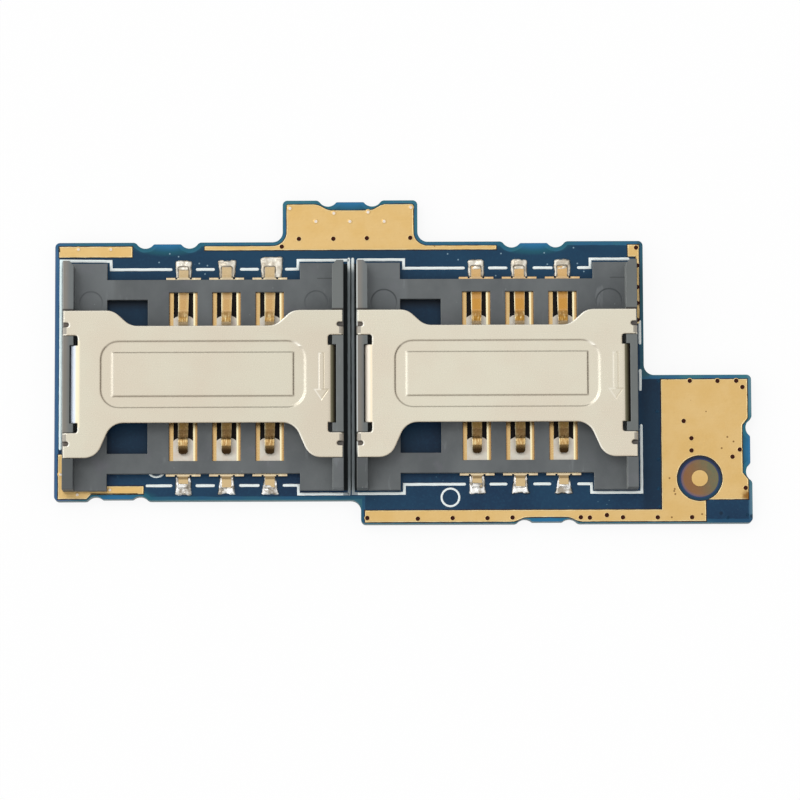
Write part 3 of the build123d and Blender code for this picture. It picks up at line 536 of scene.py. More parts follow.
def cover_surface(side):
    """Rolled nickel-silver sheet: warm, satin, with a faint grain and a stamped arrow."""
    s = Surface(f"cover_sheet_{side}", SOCKETS[side], Specular_IOR_Level=0.5)
    cloud = s.noise(0.25, 3.0, 0.5, seed=2.0)
    rolled = s.noise(2.2, 4.0, 0.6, s.stretched(0.35, 5.0, 1.0), 1.0)
    fine = s.noise(22.0, 2.0, 0.5, seed=3.0)
    s.tone = s.mix(cloud.ramp(0.35, 0.65), *COVER_TONES[side])
    s.coat(rolled.ramp(0.5, 0.8) * 0.1, "#c8bea9")
    specks = s.specks(1.1, 0.06, 0.36, 11.0)
    s.coat(specks, "#8f836d")
    # Edges that face the bright west are lit, more so on the sheet's rim than on its embossing
    to_east, to_north = s.edges(0.17)
    embossed = s.inside(0.0, LOBE_Y, EMBOSS_HALF_X, EMBOSS_HALF_Y)
    outer = s.x.abs().ramp(SHEET_END, SHEET_END + 0.04)
    lit = to_east.ramp(-0.03, -0.3) * (-embossed * 0.75 - outer * 0.5 + 0.95)
    s.coat(lit, "#fffcf0")
    # Painted highlight on rim edges that face north, and painted shade on edges that face east or
    # south, darkest along the embossing's northern flank
    s.coat(to_north.ramp(0.1, 0.6) * (-embossed + 1.0) * 0.35, "#fffaf0")
    shaded = to_east.ramp(0.12, 0.6).max(to_north.ramp(-0.2, -0.7)) * (-outer + 1.0)
    s.coat(shaded * 0.55, "#80603e")
    s.coat(embossed * to_north.ramp(-0.08, -0.4) * s.y.ramp(0.0, 1.0) * 0.5, "#5f4c3e")
    # The tongues between notch and slot lean down the rails' sides, and are painted darker as their
    # shade
    tongue = outer * (s.y - LOBE_Y).abs().band(TONGUE_Y, TONGUE_HALF, 0.03)
    s.coat(tongue * 0.8, "#8d867b")
    # The folds down the sides catch the light in the west and lie in shade in the east
    between = (s.y - LOBE_Y).abs().ramp(SLOT_HALF, SLOT_HALF - 0.1)
    inner, flat, cream, pale = FOLD_WEST[side]
    west_fold = s.x.ramp(inner, flat) * between
    east_fold = s.x.ramp(FOLD_EAST, FOLD_EAST + 0.06) * between
    down_west = s.x.ramp(-7.4, -7.5)
    down_east = s.x.ramp(FOLD_EAST + 0.06, FOLD_EAST_END)
    s.coat(west_fold, s.mix(down_west, cream, pale))
    s.coat(east_fold, s.mix(down_east, "#767158", "#443c2c"))
    # The arrow's outline: a shaft and a head, each as a distance to its nearest side
    x, y = (s.x - ARROW_X).abs(), s.y
    shaft = (x - ARROW_HALF_SHAFT).max(y - ARROW_SHAFT_TOP).max(-(y - ARROW_BARBS_Y))
    run, rise = ARROW_HALF_HEAD, ARROW_BARBS_Y - ARROW_TIP_Y
    reach = math.hypot(run, rise)
    barb = x * (rise / reach) - (y - ARROW_TIP_Y) * (run / reach)
    head = barb.max(y - ARROW_BARBS_Y)
    outline = shaft.min(head).abs()
    groove = outline.ramp(GROOVE_HALF + 0.03, GROOVE_HALF - 0.01) * ARROW_DEPTH[side]
    # The groove is painted with a highlight on its western side and shade on its eastern side
    lit_and_shaded_groove = s.mix((s.x - ARROW_X).ramp(-0.05, 0.05), "#f2ecde", "#bdb29b")
    s.coat(groove * 0.7, lit_and_shaded_groove)
    fold = west_fold.max(east_fold * 0.7).max(tongue)
    # Only the upper half of the plateau's western flank shines
    flank = embossed * to_east.ramp(-0.02, -0.15) * s.x.band(FLANK_X, 0.06, 0.03)
    s.paint("Metallic", (-fold + 1.0) * (-flank * 0.9 + 1.0))
    s.edges(0.08)
    relief = (rolled * 0.03 - specks * 0.8 - groove * 1.1) * (-fold + 1.0)
    return s.complete(fine * 0.02 + rolled * 0.03 + fold * 0.2 + 0.25, relief, 0.005)


# Places on a contact, from the middle of its cut-out: painted highlight line on the rails and their
# outer edge, half the spring, its crest, where painted sheen on the slope and painted shade on the
# tip beyond it start and are full, half the plate and its ends, and where the bar and the foot
# start
RAIL_LINE, RAIL_EDGE = 0.63, 0.84
SPRING_HALF = 0.38
CREST_Y = -0.18
SLOPE_Y = (-0.4, -0.52)
TIP_Y = (-0.52, -0.8)
PLATE_HALF, PLATE_NORTH, PLATE_SOUTH = 0.61, 0.12, -1.5
BAR_Y, FOOT_Y = 1.4, 2.24
# How far the northern springs have the brown gold of the right socket
BROWN_GOLD = {"left": 0.0, "right": 0.8}


def contact_surface(side):
    """Stamped spring sheet: gold on the spring and its rails, pale where the plating stops."""
    s = Surface(f"contact_plating_{side}", SOCKETS[side], Specular_IOR_Level=0.5)
    # Place within a contact, from the middle of its own cut-out
    x = (s.x - COLUMN_X).math("WRAP", PITCH / 2, -PITCH / 2)
    y = (s.y - ROW_Y).math("WRAP", ROW_Y, -ROW_Y)
    grain = s.noise(10.0, 3.0, 0.6, seed=1.0)
    streak = s.noise(3.0, 3.0, 0.5, s.stretched(4.0, 0.5, 1.0), 2.0)
    s.tone = s.mix(grain.ramp(0.35, 0.75), "#d3b077", "#d8b982")
    s.coat(streak.ramp(0.45, 0.75) * 0.2, "#c19a60")
    # Rails: browner along their outer edge, with a painted highlight along the edge that faces west
    s.coat(x.abs().ramp(RAIL_EDGE - 0.14, RAIL_EDGE) * 0.8, "#a87c50")
    s.coat(x.band(RAIL_LINE, 0.03, 0.04), "#fff3c8")
    # Spring: painted highlights on its edges, browner down its middle, worn with painted glints at
    # the crest, painted shade towards the tip
    root = x.abs().ramp(SPRING_HALF - 0.02, SPRING_HALF - 0.04) * y.ramp(0.1, 0.14)
    spring = s.z.ramp(PLATE_TOP + 0.01, PLATE_TOP + 0.04).max(root)
    spring = spring * x.abs().ramp(SPRING_HALF + 0.02, SPRING_HALF)
    s.coat(spring * x.abs().ramp(0.24, 0.1) * 0.5, "#c3945a")
    southern = s.y.ramp(0.5, -0.5)
    northern = -southern + 1.0
    s.coat(spring * northern * BROWN_GOLD[side], "#c98f3a")
    s.coat(spring * x.ramp(-0.23, -0.28), "#fff0c4")
    s.coat(spring * x.ramp(0.25, 0.3) * 0.6, "#f2dcae")
    wear_and_glints = s.noise(1.0, 3.0, 0.65, s.stretched(11.0, 2.5, 1.0), 8.0)
    crest = spring * y.band(CREST_Y, 0.26, 0.15)
    # Painted shade on the northern crests, and wear with painted glints on all of them
    s.coat(crest * northern * 0.48, "#9a7028")
    s.coat(crest * wear_and_glints.ramp(0.5, 0.6) * 0.7, "#8f6a30")
    s.coat(crest * wear_and_glints.ramp(0.48, 0.38) * 0.7, "#f3dea6")
    # Past the crest: a painted sheen on the slope in the north, and painted shade on the tip in the
    # south
    slope = spring * y.ramp(*SLOPE_Y) * northern
    tip = spring * y.ramp(*TIP_Y)
    s.coat(slope * 0.8, "#f0d6ac")
    s.coat(tip * southern * 0.85, "#4a2f1a")
    # Painted dark reflections in bands on the southern springs, and painted gold glints nearest the
    # cover
    s.coat(spring * southern * y.band(0.06, 0.06, 0.1) * 0.3, "#6b3f1c")
    s.coat(spring * southern * y.band(0.34, 0.08, 0.1) * 0.45, "#4f2f0f")
    s.coat(spring * southern * y.ramp(0.48, 0.6) * wear_and_glints.ramp(0.4, 0.6) * 0.5, "#c79f4a")
    # Less of the dark room shows in the spring where it turns away from the light
    turn = spring * northern * y.band(0.08, 0.2, 0.06).max(y.ramp(0.9, 1.0)) * 0.9
    dull = slope * 0.9 + spring * southern * y.ramp(-0.1, 0.1) * 0.7 + turn
    to_east, _ = s.edges(0.035)
    # Painted highlight on edges that face west, and painted shade on edges that face east
    s.coat(to_east.ramp(-0.1, -0.5) * 0.7, "#fff6d4")
    s.coat(to_east.ramp(0.15, 0.6) * 0.4, "#8f6a3a")
    # Plate between the rails: bare and pale from the arch southwards
    plate = (x.abs().ramp(PLATE_HALF, PLATE_HALF - 0.04) * y.ramp(PLATE_NORTH, PLATE_NORTH - 0.06)
             * y.ramp(PLATE_SOUTH, PLATE_SOUTH + 0.06))
    plate = plate * s.z.ramp(PLATE_TOP + 0.03, PLATE_TOP + 0.01)
    pale = s.mix(s.noise(2.5, 3.0, seed=5.0).ramp(0.4, 0.7), "#cfcabe", "#cbbfb0")
    s.coat(plate, pale)
    # Bar and tail outside the housing: paler, with a blush from the solder
    outside = y.abs().ramp(BAR_Y, BAR_Y + 0.1)
    s.coat(outside * 0.7, "#eedfbe")
    s.coat(y.abs().ramp(FOOT_Y, FOOT_Y + 0.06) * 0.8, "#c9ad7c")
    s.coat(outside * grain.ramp(0.5, 0.7) * 0.25, "#c79f80")
    s.coat(outside * northern * BROWN_GOLD[side] * 0.6, "#dba552")
    heel = southern * y.abs().band(FOOT_Y + 0.1, 0.07, 0.03)
    s.coat(heel * 0.6, "#6b5434")
    s.paint("Metallic", -dull + 1.0)
    return s.complete(grain * 0.06 + plate * 0.15 + 0.24, grain * 0.4 + streak * 0.3, 0.0012)


# The foot that shows in a joint, the round of the crease about it, and the crease's own place
FOOT_HALF = 0.28
FOOT_LENGTH = 0.6
CREASE_ROUND = 0.1
CREASE_OFF = 0.04
FOOT_END = extent("solder_left_1")[0].y - SOCKETS["left"][1] + FOOT_LENGTH


def solder_surface(side):
    """Reflowed solder: lumpy and bright, duller in the north, with a crease round the foot."""
    s = Surface(f"solder_{side}", SOCKETS[side], Metallic=1.0, Specular_IOR_Level=0.5)
    x = (s.x - COLUMN_X).math("WRAP", PITCH / 2, -PITCH / 2).abs()
    out = s.y.abs() - FOOT_END
    lumps = s.noise(2.6, 3.0, 0.5, seed=1.0)
    grain = s.noise(9.0, 3.0, 0.55, seed=2.0)
    dull = s.mix(lumps.ramp(0.35, 0.65), "#c6bcaa", "#eae5d8")
    bright = s.mix(lumps.ramp(0.4, 0.6), "#a39b8e", "#f6f5f1")
    northern = s.y.ramp(-1.0, 1.0)
    s.tone = s.mix(northern, bright, dull)
    s.coat(grain.ramp(0.55, 0.8) * 0.35, "#9c8a6e")
    wander = (s.noise(3.0, 2.0, seed=6.0) - 0.5) * 0.1
    beside, beyond = (x - FOOT_HALF + CREASE_ROUND).max(0.0), (out + CREASE_ROUND).max(0.0)
    crease = (beside.hypot(beyond) - CREASE_ROUND + wander).band(CREASE_OFF, 0.015, 0.04)
    # Painted shade in the crease round the foot, stronger in the north
    s.coat(crease * (northern * 0.5 + 0.15), "#544838")
    s.edges(0.03)
    return s.complete(grain * 0.15 + northern * 0.12 + 0.18, lumps + grain * 0.3 - crease, 0.035)


def ink_surface():
    """Screen-printed ink: matt white with a cool cast, thinner in places."""
    s = Surface("print_ink", Specular_IOR_Level=0.2)
    thin = s.noise(5.0, 4.0, 0.6, seed=1.0)
    grain = s.noise(20.0, 2.0, 0.5, seed=2.0)
    s.tone = s.mix(thin.ramp(0.5, 0.85) * 0.5, "#eef5f3", "#c3d7dd")
    # Painted shade between the sockets, and whiter along the western edge
    s.coat(s.x.band(SLOT_X, SLOT_HALF_X, 0.05) * s.y.ramp(5.7, 5.2), "#9aa3a6")
    s.coat(s.x.ramp(WEST + 0.6, WEST + 0.4) * 0.6, "#e3fbff")
    s.edges(0.01)
    return s.complete(grain * 0.2 + 0.5, grain * 0.5 + thin * 0.5, 0.01)


def via_surface(name, dark, light):
    """The dimple over a plated hole, darker towards its middle, in colours of painted shade for
    open holes and of painted light for those that light comes through; the mask's humps use it too.
    """
    s = Surface(name, Specular_IOR_Level=0.1)
    grain = s.noise(12.0, 3.0, 0.6, seed=6.0)
    s.tone = s.mix(grain.ramp(0.3, 0.75), dark, light)
    s.edges(0.01)
    return s.complete(grain * 0.3 + 0.3, grain, 0.008)


def pad_gap_shade_surface():
    """A dark line beside the copper, where the mask stops short of it over bare laminate, darkened
    as painted shade.
    """
    s = Surface("pad_gap_shade", Specular_IOR_Level=0.2)
    weave = s.noise(6.0, 3.0, 0.6, s.stretched(1.0, 2.0, 1.0), 4.0)
    s.tone = s.mix(weave.ramp(0.35, 0.7), "#2b2027", "#46301f")
    s.edges(0.01)
    return s.complete(weave * 0.2 + 0.5, weave, 0.01)


BOARD = board_surface()
COPPER = copper_surface("gold_flash", "#d6b272", "#dab97e")
# A paler copy of the gold: painted highlight along the pads' edges and in a ring round the open
# holes
COPPER_HIGHLIGHT = copper_surface("gold_flash_highlight", "#e6cc94", "#efd9a8")
SOLDER = {side: solder_surface(side) for side in SIDES}
INK = ink_surface()
PAD_GAP_SHADE = pad_gap_shade_surface()
VIA_HOLE_SHADE = via_surface("via_hole_shade", "#2a0d05", "#44180a")
VIA_LIGHT_THROUGH = via_surface("via_light_through", "#e0cdb8", "#fbf4ec")
MASK_BUMP = via_surface("mask_bump", "#0f2940", "#1d4661")


# ---- mesh helpers ----
# How far what lies on a surface reaches into it
SUNK = 0.004
# A printed line: gap between its stations, width of its top in its foot's, steps round its end
STATION_GAP = 0.3
TOP_SHARE = 0.86
END_STEPS = 6
# Least cosine of half a bend for a mitre, so that sharp corners stay short
MITRE_LEAST = 0.5


def stand(name, data):
    """Puts a mesh, a camera or a light into the scene as an object."""
    made = bpy.data.objects.new(name, data)
    bpy.context.scene.collection.objects.link(made)
    return made


def piece(name, points, faces, materials, which=None, stands_for=()):
    """A mesh object from points in millimetres, riding on the board with the rest."""
    mesh = bpy.data.meshes.new(name)
    mesh.from_pydata([Vector(p) * MM for p in points], [], faces)
    for material in materials:
        mesh.materials.append(material)
    for index, face in enumerate(mesh.polygons):
        face.use_smooth = True
        if which:
            face.material_index = which[index]
    mesh.update()
    made = stand(name, mesh)
    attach(made, "root")
    if stands_for:
        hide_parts(*stands_for)


def circle(x, y, radius, steps):
    """Points evenly round a circle."""
    turns = [2 * math.pi * i / steps for i in range(steps)]
    return [(x + radius * math.cos(turn), y + radius * math.sin(turn)) for turn in turns]


def lathe(centre, profile, steps, points, faces, which, bands):
    """Adds a turned shape to a mesh: profile is radius and height, from the middle outwards."""
    start = len(points)
    for radius, height in profile:
        points.extend((x, y, height) for x, y in circle(*centre, radius, steps))
    for row in range(len(profile) - 1):
        for i in range(steps):
            j = (i + 1) % steps
            low, high = start + row * steps, start + (row + 1) * steps
            faces.append((low + i, high + i, high + j, low + j))
            which.append(bands[row])


def stations_along(path, closed):
    """Places along a path, each with the direction across it, which is mitred at corners."""
    route = [Vector(p) for p in path]
    if closed:
        route += route[:2]
    stations = []
    for i, (here, there) in enumerate(zip(route, route[1:])):
        run = there - here
        along = run.normalized()
        before = (here - route[i - 1]).normalized() if i else along
        mean = (before + along).normalized()
        reach = 1 / max(MITRE_LEAST, mean.dot(along))
        stations.append((here, Vector((-mean.y, mean.x)) * reach))
        across = Vector((-along.y, along.x))
        parts = max(1, round(run.length / STATION_GAP))
        stations.extend((here + run * k / parts, across) for k in range(1, parts))
    if not closed:
        stations.append((route[-1], across))
    return stations


def ribbon(path, width, base, rise, points, faces, wander=0.006, closed=False, seed=0):
    """Adds a printed line along a path to a mesh, with rounded ends and uneven edges."""
    rng = random.Random(seed)
    stations = stations_along(path, closed)
    start = len(points)
    for spot, across in stations:
        left = across * (width / 2 + rng.uniform(-wander, wander))
        right = across * (width / 2 + rng.uniform(-wander, wander))
        for edge, height in ((spot + left, base), (spot + left * TOP_SHARE, base + rise),
                             (spot - right * TOP_SHARE, base + rise), (spot - right, base)):
            points.append((edge.x, edge.y, height))
    for i in range(len(stations) - 1):
        a, b = start + i * 4, start + i * 4 + 4
        for k in range(3):
            faces.append((a + k, b + k, b + k + 1, a + k + 1))
    if closed:
        return
    for index, sign in ((0, -1), (len(stations) - 1, 1)):
        spot, across = stations[index]
        ahead = Vector((across.y, -across.x)) * sign
        ring = start + index * 4
        rims = [(ring, ring + 1)]
        for k in range(1, END_STEPS):
            angle = math.pi * k / END_STEPS
            edge = (across * math.cos(angle) + ahead * math.sin(angle)) * width / 2
            rims.append((len(points), len(points) + 1))
            points.append((spot.x + edge.x, spot.y + edge.y, base))
            points.append((spot.x + edge.x * TOP_SHARE, spot.y + edge.y * TOP_SHARE, base + rise))
        rims.append((ring + 3, ring + 2))
        hub = len(points)
        points.append((spot.x, spot.y, base + rise))
        for (low, high), (next_low, next_high) in zip(rims, rims[1:]):
            wall, cap = (low, high, next_high, next_low), (high, hub, next_high)
            faces.append(wall if sign < 0 else wall[::-1])
            faces.append(cap if sign < 0 else cap[::-1])


# ---- CAD pieces take their materials ----
def dress(node, material):
    """Puts a material on a CAD node."""
    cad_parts[node].material_slots[0].material = material


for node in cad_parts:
    kind = node.split("_")[0]
    if kind == "circuit":
        dress(node, BOARD)
    elif kind in ("ground", "alignment"):
        dress(node, COPPER)
for side in SIDES:
    dress(f"housing_{side}", housing_surface(side))
    dress(f"cover_{side}", cover_surface(side))
    plating = contact_surface(side)
    for number in range(1, 7):
        dress(f"contact_{side}_{number}", plating)

# ---- print on the board ----
INK_WIDTH = 0.17
RING_WIDTH = 0.12
INK_BASE = BOARD_TOP - SUNK
INK_RISE = 0.018
PRINT_LINES = (
    # Left socket, with the pieces that are seen between its contacts
    ((-20.13, -5.1), (-20.13, 6.05), (-17.19, 6.01), (-17.17, 5.51), (-13.64, 5.51)),
    ((-12.1, 5.51), (-11.14, 5.51)),
    ((-9.5, 5.51), (-8.54, 5.51)),
    ((-6.85, 5.51), (-6.16, 5.51), (-6.16, 6.03), (-3.23, 6.03)),
    ((-15.02, -7.31), (-13.62, -7.31)),
    ((-12.1, -7.31), (-11.12, -7.31)),
    ((-9.54, -7.31), (-8.5, -7.31)),
    ((-6.99, -7.31), (-6.14, -7.31), (-6.14, -7.83), (-3.26, -7.83)),
    ((-3.16, 6.1), (-3.16, -7.84)),
    ((-2.93, 6.1), (-2.93, -7.81), (0.07, -7.81), (0.07, -7.28), (3.6, -7.28)),
    # Right socket
    ((-2.6, 6.05), (0.07, 6.05), (0.07, 5.54), (3.6, 5.54)),
    ((5.13, 5.54), (6.11, 5.54)),
    ((7.76, 5.54), (8.78, 5.54)),
    ((10.38, 5.54), (11.07, 5.54), (11.07, 6.05), (13.31, 6.05)),
    ((5.14, -7.28), (6.03, -7.28)),
    ((7.71, -7.28), (8.6, -7.28)),
    ((10.29, -7.28), (11.05, -7.28), (11.05, -7.79), (13.99, -7.79), (13.99, -3.85)),
    ((13.96, -0.58), (13.96, -1.72)),
    ((13.96, 2.32), (13.96, 1.03)),
)
# Printed rings: place of the middle, and radius
PRINT_RINGS = ((2.77, -8.055, 0.52), (-14.475, -6.26, 0.53))
RING_STEPS = 40
points, faces = [], []
for number, line in enumerate(PRINT_LINES):
    ribbon(line, INK_WIDTH, INK_BASE, INK_RISE, points, faces, seed=number)
for ring in PRINT_RINGS:
    ribbon(circle(*ring, RING_STEPS), RING_WIDTH, INK_BASE, INK_RISE, points, faces,
           wander=0.003, closed=True)
piece("print_lines", points, faces, [INK])

# ---- plated holes ----
# Their middles: open ones, small open ones, ones with light showing through, humps on the gold with
# light showing through, humps in the mask
DARK_VIAS = (
    (-6.1, 7.31), (-4.07, 7.31), (-2.09, 7.34), (0.47, 7.35), (-7.11, 6.85), (16.87, -1.22),
    (18.5, -1.23), (19.6, -1.23), (19.96, -1.6), (16.49, -3.6), (16.93, -4.62), (16.93, -5.34),
    (19.76, -5.3), (19.33, -5.72), (20.08, -7.56), (16.92, -9.28), (-2.11, -9.26), (0.85, -9.31),
    (2.89, -9.28), (4.93, -9.29), (6.4, -9.26), (10.4, -9.26), (10.93, -9.28), (11.93, -9.14),
    (12.87, -9.27), (14.91, -9.28), (13.79, 6.72),
)
EDGE_VIAS = ((13.84, 5.65), (13.84, 4.37), (13.83, 3.41), (13.83, 2.41))
PALE_VIAS = ((-6.63, 9.14), (-4.04, 8.84), (-2.02, 8.9), (0.51, 9.18), (-5.1, 8.35),
             (-3.09, 8.34), (-1.07, 8.34))
GOLD_BUMPS = ((-19.11, 6.73), (-17.2, 6.72), (-20.11, -6.63), (-19.11, -7.83), (-17.2, -7.55))
MASK_BUMPS = ((15.03, -1.21), (14.92, -3.02), (14.98, -5.86), (14.97, -7.57), (15.03, -8.66),
              (19.01, -9.3), (20.15, -9.13))
VIA_STEPS = 20


def turned_marks(name, level, marks, materials):
    """Small turned shapes on the board in one piece.

    A mark is its places, its profile as radius and height over the level, and for each band of
    that profile the number of its material.
    """
    points, faces, which = [], [], []
    for places, profile, bands in marks:
        raised = [(radius, level + height) for radius, height in profile]
        for place in places:
            lathe(place, raised, VIA_STEPS, points, faces, which, bands)
    piece(name, points, faces, materials, which)


# Open holes are discs of painted shade with a ring of painted highlight, and the pale ones and the
# humps on the gold show painted light coming through
turned_marks("plated_holes", COPPER_TOP, (
    (DARK_VIAS, ((0.0, 0.002), (0.09, 0.004), (0.132, 0.007), (0.146, 0.012), (0.158, 0.01),
                 (0.172, -0.006)), (0, 0, 1, 3, 1)),
    (EDGE_VIAS, ((0.0, 0.002), (0.09, 0.004), (0.125, 0.007), (0.145, -0.006)), (0, 0, 0)),
    (PALE_VIAS, ((0.0, 0.012), (0.05, 0.014), (0.09, 0.008), (0.14, 0.01), (0.18, -0.006)),
     (2, 2, 1, 1)),
    (GOLD_BUMPS, ((0.0, 0.012), (0.04, 0.012), (0.08, 0.004), (0.13, 0.008), (0.17, -0.006)),
     (2, 2, 1, 1)),
), [VIA_HOLE_SHADE, COPPER, VIA_LIGHT_THROUGH, COPPER_HIGHLIGHT])
turned_marks("tented_holes", BOARD_TOP, (
    (MASK_BUMPS, ((0.0, 0.008), (0.04, 0.018), (0.08, 0.014), (0.12, -0.005)), (0, 0, 0)),
), [MASK_BUMP])


# ---- edges of the copper areas: a painted highlight inside, a line of painted shade outside ----
EDGE_WIDTH = 0.05
RIM_RISE, RIM_WANDER, RIM_SEED = 0.007, 0.01, 31
SURROUND_RISE, SURROUND_WANDER, SURROUND_SEED = 0.012, 0.012, 47
# Loops that stay this near to the alignment mark are left plain
PLAIN_ROUND_MARK = 2.0


def outline_loops(node, level):
    """The closed outlines of a CAD node's faces at a level, each turning left round the metal."""
    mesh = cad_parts[node].data
    # The sides of all faces in their order, of which an outline has those that go only one way
    sides = {}
    for face in mesh.polygons:
        corners = [mesh.vertices[i].co / MM for i in face.vertices]
        if face.normal.z > 0.9 and all(abs(corner.z - level) < 0.001 for corner in corners):
            keys = [(round(corner.x, 3), round(corner.y, 3)) for corner in corners]
            sides.update(dict.fromkeys(zip(keys, keys[1:] + keys[:1])))
    edges = {start: end for start, end in sides if (end, start) not in sides}
    loops = []
    while edges:
        first = next(iter(edges))
        loop = [first]
        while edges[loop[-1]] != first:
            loop.append(edges.pop(loop[-1]))
        edges.pop(loop[-1])
        loops.append(loop)
    return loops


def set_off(loop, distance):
    """A loop moved sideways by a distance, to its left where that is positive."""
    moved = []
    for i, here in enumerate(loop):
        here = Vector(here)
        before = (here - Vector(loop[i - 1])).normalized()
        after = (Vector(loop[(i + 1) % len(loop)]) - here).normalized()
        mean = (before + after).normalized()
        reach = distance / max(MITRE_LEAST, mean.dot(after))
        moved.append((here.x - mean.y * reach, here.y + mean.x * reach))
    return moved


bright_points, bright_faces, dark_points, dark_faces = [], [], [], []
for node in sorted(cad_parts):
    if not node.startswith("ground_pad"):
        continue
    for loop in outline_loops(node, COPPER_TOP):
        if max(math.hypot(x - MARK_X, y - MARK_Y) for x, y in loop) < PLAIN_ROUND_MARK:
            continue
        ribbon(set_off(loop, EDGE_WIDTH / 2), EDGE_WIDTH, COPPER_TOP - SUNK, RIM_RISE,
               bright_points, bright_faces, RIM_WANDER, closed=True, seed=RIM_SEED)
        ribbon(set_off(loop, -EDGE_WIDTH / 2), EDGE_WIDTH, BOARD_TOP - SUNK, SURROUND_RISE,
               dark_points, dark_faces, SURROUND_WANDER, closed=True, seed=SURROUND_SEED)
piece("pad_rim_highlights", bright_points, bright_faces, [COPPER_HIGHLIGHT])
piece("pad_shade_lines", dark_points, dark_faces, [PAD_GAP_SHADE])

# ---- solder on the contact tails ----
# Cells of a joint's mesh each way, round of its rim, and how far its corners fall back
JOINT_CELLS = 40
JOINT_ROUND = 0.17
CORNER_BACK = 0.14
# Waves of its sides and its end, and lumps with how many there are to the millimetre
SIDE_WAVE, END_WAVE = 0.04, 0.05
LUMP, LUMP_SCALE = 0.07, 2.6
SMALL_LUMP, SMALL_LUMP_SCALE = 0.02, 6.0
# Depth of the foot under the plain joint's top, and how softly its sides and end show
FOOT_DEPTH = 0.05
FOOT_SIDE_SOFT, FOOT_END_SOFT = 0.06, 0.08
# Its height in that of the plain joint that it stands for
JOINT_SWELL = 1.06


def blob(node, width, length, waist, flare, notch, aside, bare, seed):
    """A reflowed joint round a contact's tail, from the bar outwards.

    The foot shows through its middle. waist narrows it at the bar, flare draws out its outer
    corners, notch is how far the middle of its end falls back, aside shifts it eastwards, and bare
    is how much of the foot's length shows.
    """
    low, high = extent(node)
    mid_x = (low.x + high.x) / 2 + aside
    outwards = 1 if low.y + high.y > 2 * SOCKETS["left"][1] else -1
    start = low.y if outwards > 0 else high.y
    rng = random.Random(seed)
    shift = Vector((rng.uniform(0, 50), rng.uniform(0, 50), rng.uniform(0, 50)))
    plain = high.z - low.z
    top = plain * JOINT_SWELL
    points, faces = [], []
    for j in range(JOINT_CELLS + 1):
        t = j / JOINT_CELLS
        for i in range(JOINT_CELLS + 1):
            a = 2 * i / JOINT_CELLS - 1
            side = Vector((t * 3.0, 5.0 if a > 0 else 9.0, 0.0)) + shift
            half = width / 2 * (1 - waist * (1 - t) ** 1.5) + flare * t ** 5
            half += noise.noise(side) * SIDE_WAVE
            end = Vector((a * 2.5, 2.0, 0.0)) + shift
            reach = length + noise.noise(end) * END_WAVE - (CORNER_BACK - flare) * abs(a) ** 8
            reach -= notch * max(0.0, 1 - (a / 0.45) ** 2)
            x, y = a * half, t * reach
            rim = min((1 - abs(a)) * half, (1 - t) * reach)
            rise = math.sqrt(max(0.0, 1 - (1 - min(rim / JOINT_ROUND, 1.0)) ** 2))
            in_foot = (FOOT_HALF + FOOT_SIDE_SOFT / 2 - abs(x + aside)) / FOOT_SIDE_SOFT
            foot = max(0.0, min(1.0, in_foot, (bare - y) / FOOT_END_SOFT))
            height = top * rise - foot * max(0.0, top * rise - (plain - FOOT_DEPTH))
            lumpy = rise * (1 - foot)
            lump = Vector((x * LUMP_SCALE, y * LUMP_SCALE, 0.0)) + shift
            small = Vector((x * SMALL_LUMP_SCALE, y * SMALL_LUMP_SCALE, 3.0)) + shift
            height += noise.noise(lump) * LUMP * lumpy + noise.noise(small) * SMALL_LUMP * lumpy
            points.append((mid_x + x, start + outwards * y, low.z + max(0.0, height)))
    row = JOINT_CELLS + 1
    for j in range(JOINT_CELLS):
        for i in range(JOINT_CELLS):
            corner = j * row + i
            face = (corner, corner + 1, corner + row + 1, corner + row)
            faces.append(face if outwards > 0 else face[::-1])
    metal = SOLDER[node.split("_")[1]]
    piece(node.replace("solder", "joint"), points, faces, [metal], stands_for=(node,))


JOINTS = {
    # number: width, length, waist, flare, notch, aside, bare
    1: (1.0, 1.04, 0.06, 0.0, 0.0, 0.0, 0.45),
    2: (1.06, 1.08, 0.12, 0.03, 0.08, 0.02, 0.62),
    3: (1.36, 1.24, 0.12, 0.0, 0.0, 0.1, 0.62),
    4: (0.96, 1.06, 0.02, 0.05, 0.02, 0.0, 0.4),
    5: (0.96, 1.04, 0.12, 0.08, 0.06, 0.0, 0.6),
    6: (0.94, 1.06, 0.28, 0.08, 0.04, 0.0, 0.5),
}
JOINT_SEED = {"left": 0, "right": 10}
for side in SIDES:
    for number, shape in JOINTS.items():
        # The northern joints of the right socket are all alike
        if side == "right" and number <= 3:
            shape = JOINTS[1]
        blob(f"solder_{side}_{number}", *shape, number + JOINT_SEED[side])

# ---- camera ----
CAMERA_PLACE = (-0.17, -38.01, 283.55)
CAMERA_TILT, CAMERA_TURN = 7.2, -0.21
camera_data = bpy.data.cameras.new("camera")
camera_data.lens = 218.2
camera_data.sensor_width = 36.0
camera_data.clip_start = 0.01
camera = stand("camera", camera_data)
camera.matrix_world = (Matrix.Translation(Vector(CAMERA_PLACE) * MM)
                       @ Matrix.Rotation(math.radians(CAMERA_TILT), 4, "X")
                       @ Matrix.Rotation(math.radians(CAMERA_TURN), 4, "Z"))
bpy.context.scene.camera = camera

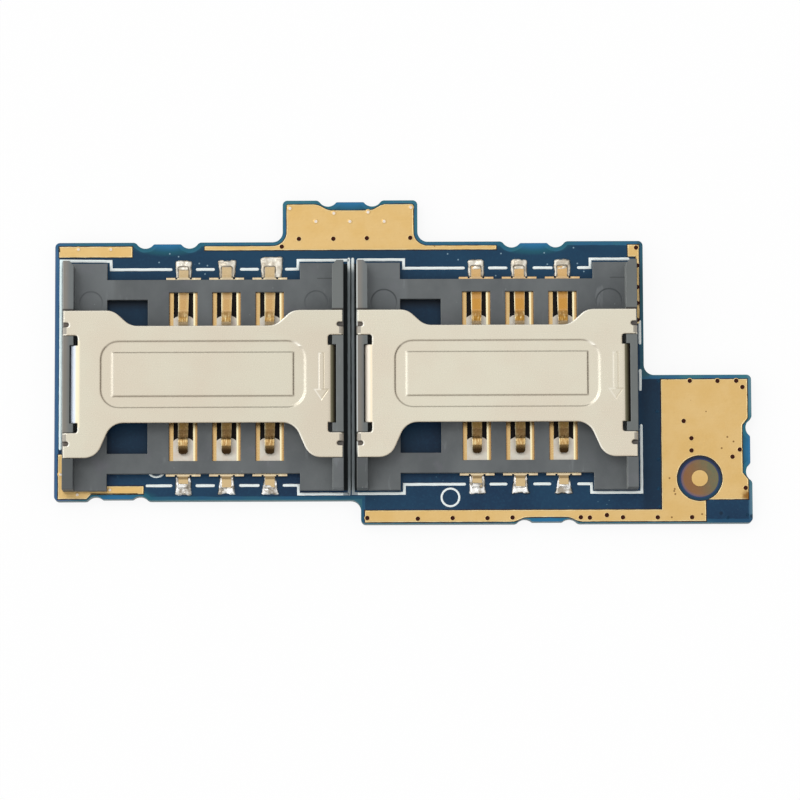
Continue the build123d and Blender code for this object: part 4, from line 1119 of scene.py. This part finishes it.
# ---- light ----
SUN_FROM = Vector((-0.35, 0.35, 0.87)).normalized()
world = bpy.data.worlds.new("studio")
bpy.context.scene.world = world
tree = blank_tree(world)
direction = add_node(tree, "ShaderNodeTexCoord", {})
to_east, to_north, to_zenith = split_axes(tree, direction.outputs["Generated"])
# A soft box overhead, a bright wall in the west, and a dim room elsewhere
overhead = to_zenith.ramp(0.41, 0.53)
low = (to_north.ramp(0.1, 0.5) * 0.3 + 0.18).max(to_east.ramp(-0.15, -0.5) * 1.6)
background = add_node(tree, "ShaderNodeBackground", {
    "Color": "#ffffff", "Strength": low + overhead * (-(low - 0.95))})
add_node(tree, "ShaderNodeOutputWorld", {0: background.outputs[0]})
sun_data = bpy.data.lights.new("key", "SUN")
sun_data.energy = 0.35
sun_data.angle = math.radians(20)
sun = stand("key", sun_data)
sun.matrix_world = SUN_FROM.to_track_quat("Z", "Y").to_matrix().to_4x4()

# ---- floor ----
# Half its width, how far it lies under the board, and how much of it is glow where it is seen
FLOOR_HALF, FLOOR_DROP = 600.0, 0.01
GLOW_SHARE = 0.88
floor_mesh = bpy.data.meshes.new("floor")
corners = [Vector((x * FLOOR_HALF, y * FLOOR_HALF, -FLOOR_DROP)) * MM
           for x, y in ((-1, -1), (1, -1), (1, 1), (-1, 1))]
floor_mesh.from_pydata(corners, [], [(0, 1, 2, 3)])
paper = bpy.data.materials.new("floor_paper")
tree = blank_tree(paper)
rays = add_node(tree, "ShaderNodeLightPath", {}).outputs
seen = reduce(Field.max, [Field(tree, rays[f"Is {kind} Ray"])
                          for kind in ("Camera", "Glossy", "Transmission")])
diffuse = add_node(tree, "ShaderNodeBsdfDiffuse", {"Color": (0.95, 0.95, 0.95, 1.0)})
glow = add_node(tree, "ShaderNodeEmission", {"Strength": 1.0})
blend = add_node(tree, "ShaderNodeMixShader", {
    0: seen * GLOW_SHARE, 1: diffuse.outputs[0], 2: glow.outputs[0]})
add_node(tree, "ShaderNodeOutputMaterial", {0: blend.outputs[0]})
floor_mesh.materials.append(paper)
floor = stand("floor", floor_mesh)

bpy.context.scene.view_settings.view_transform = "Standard"
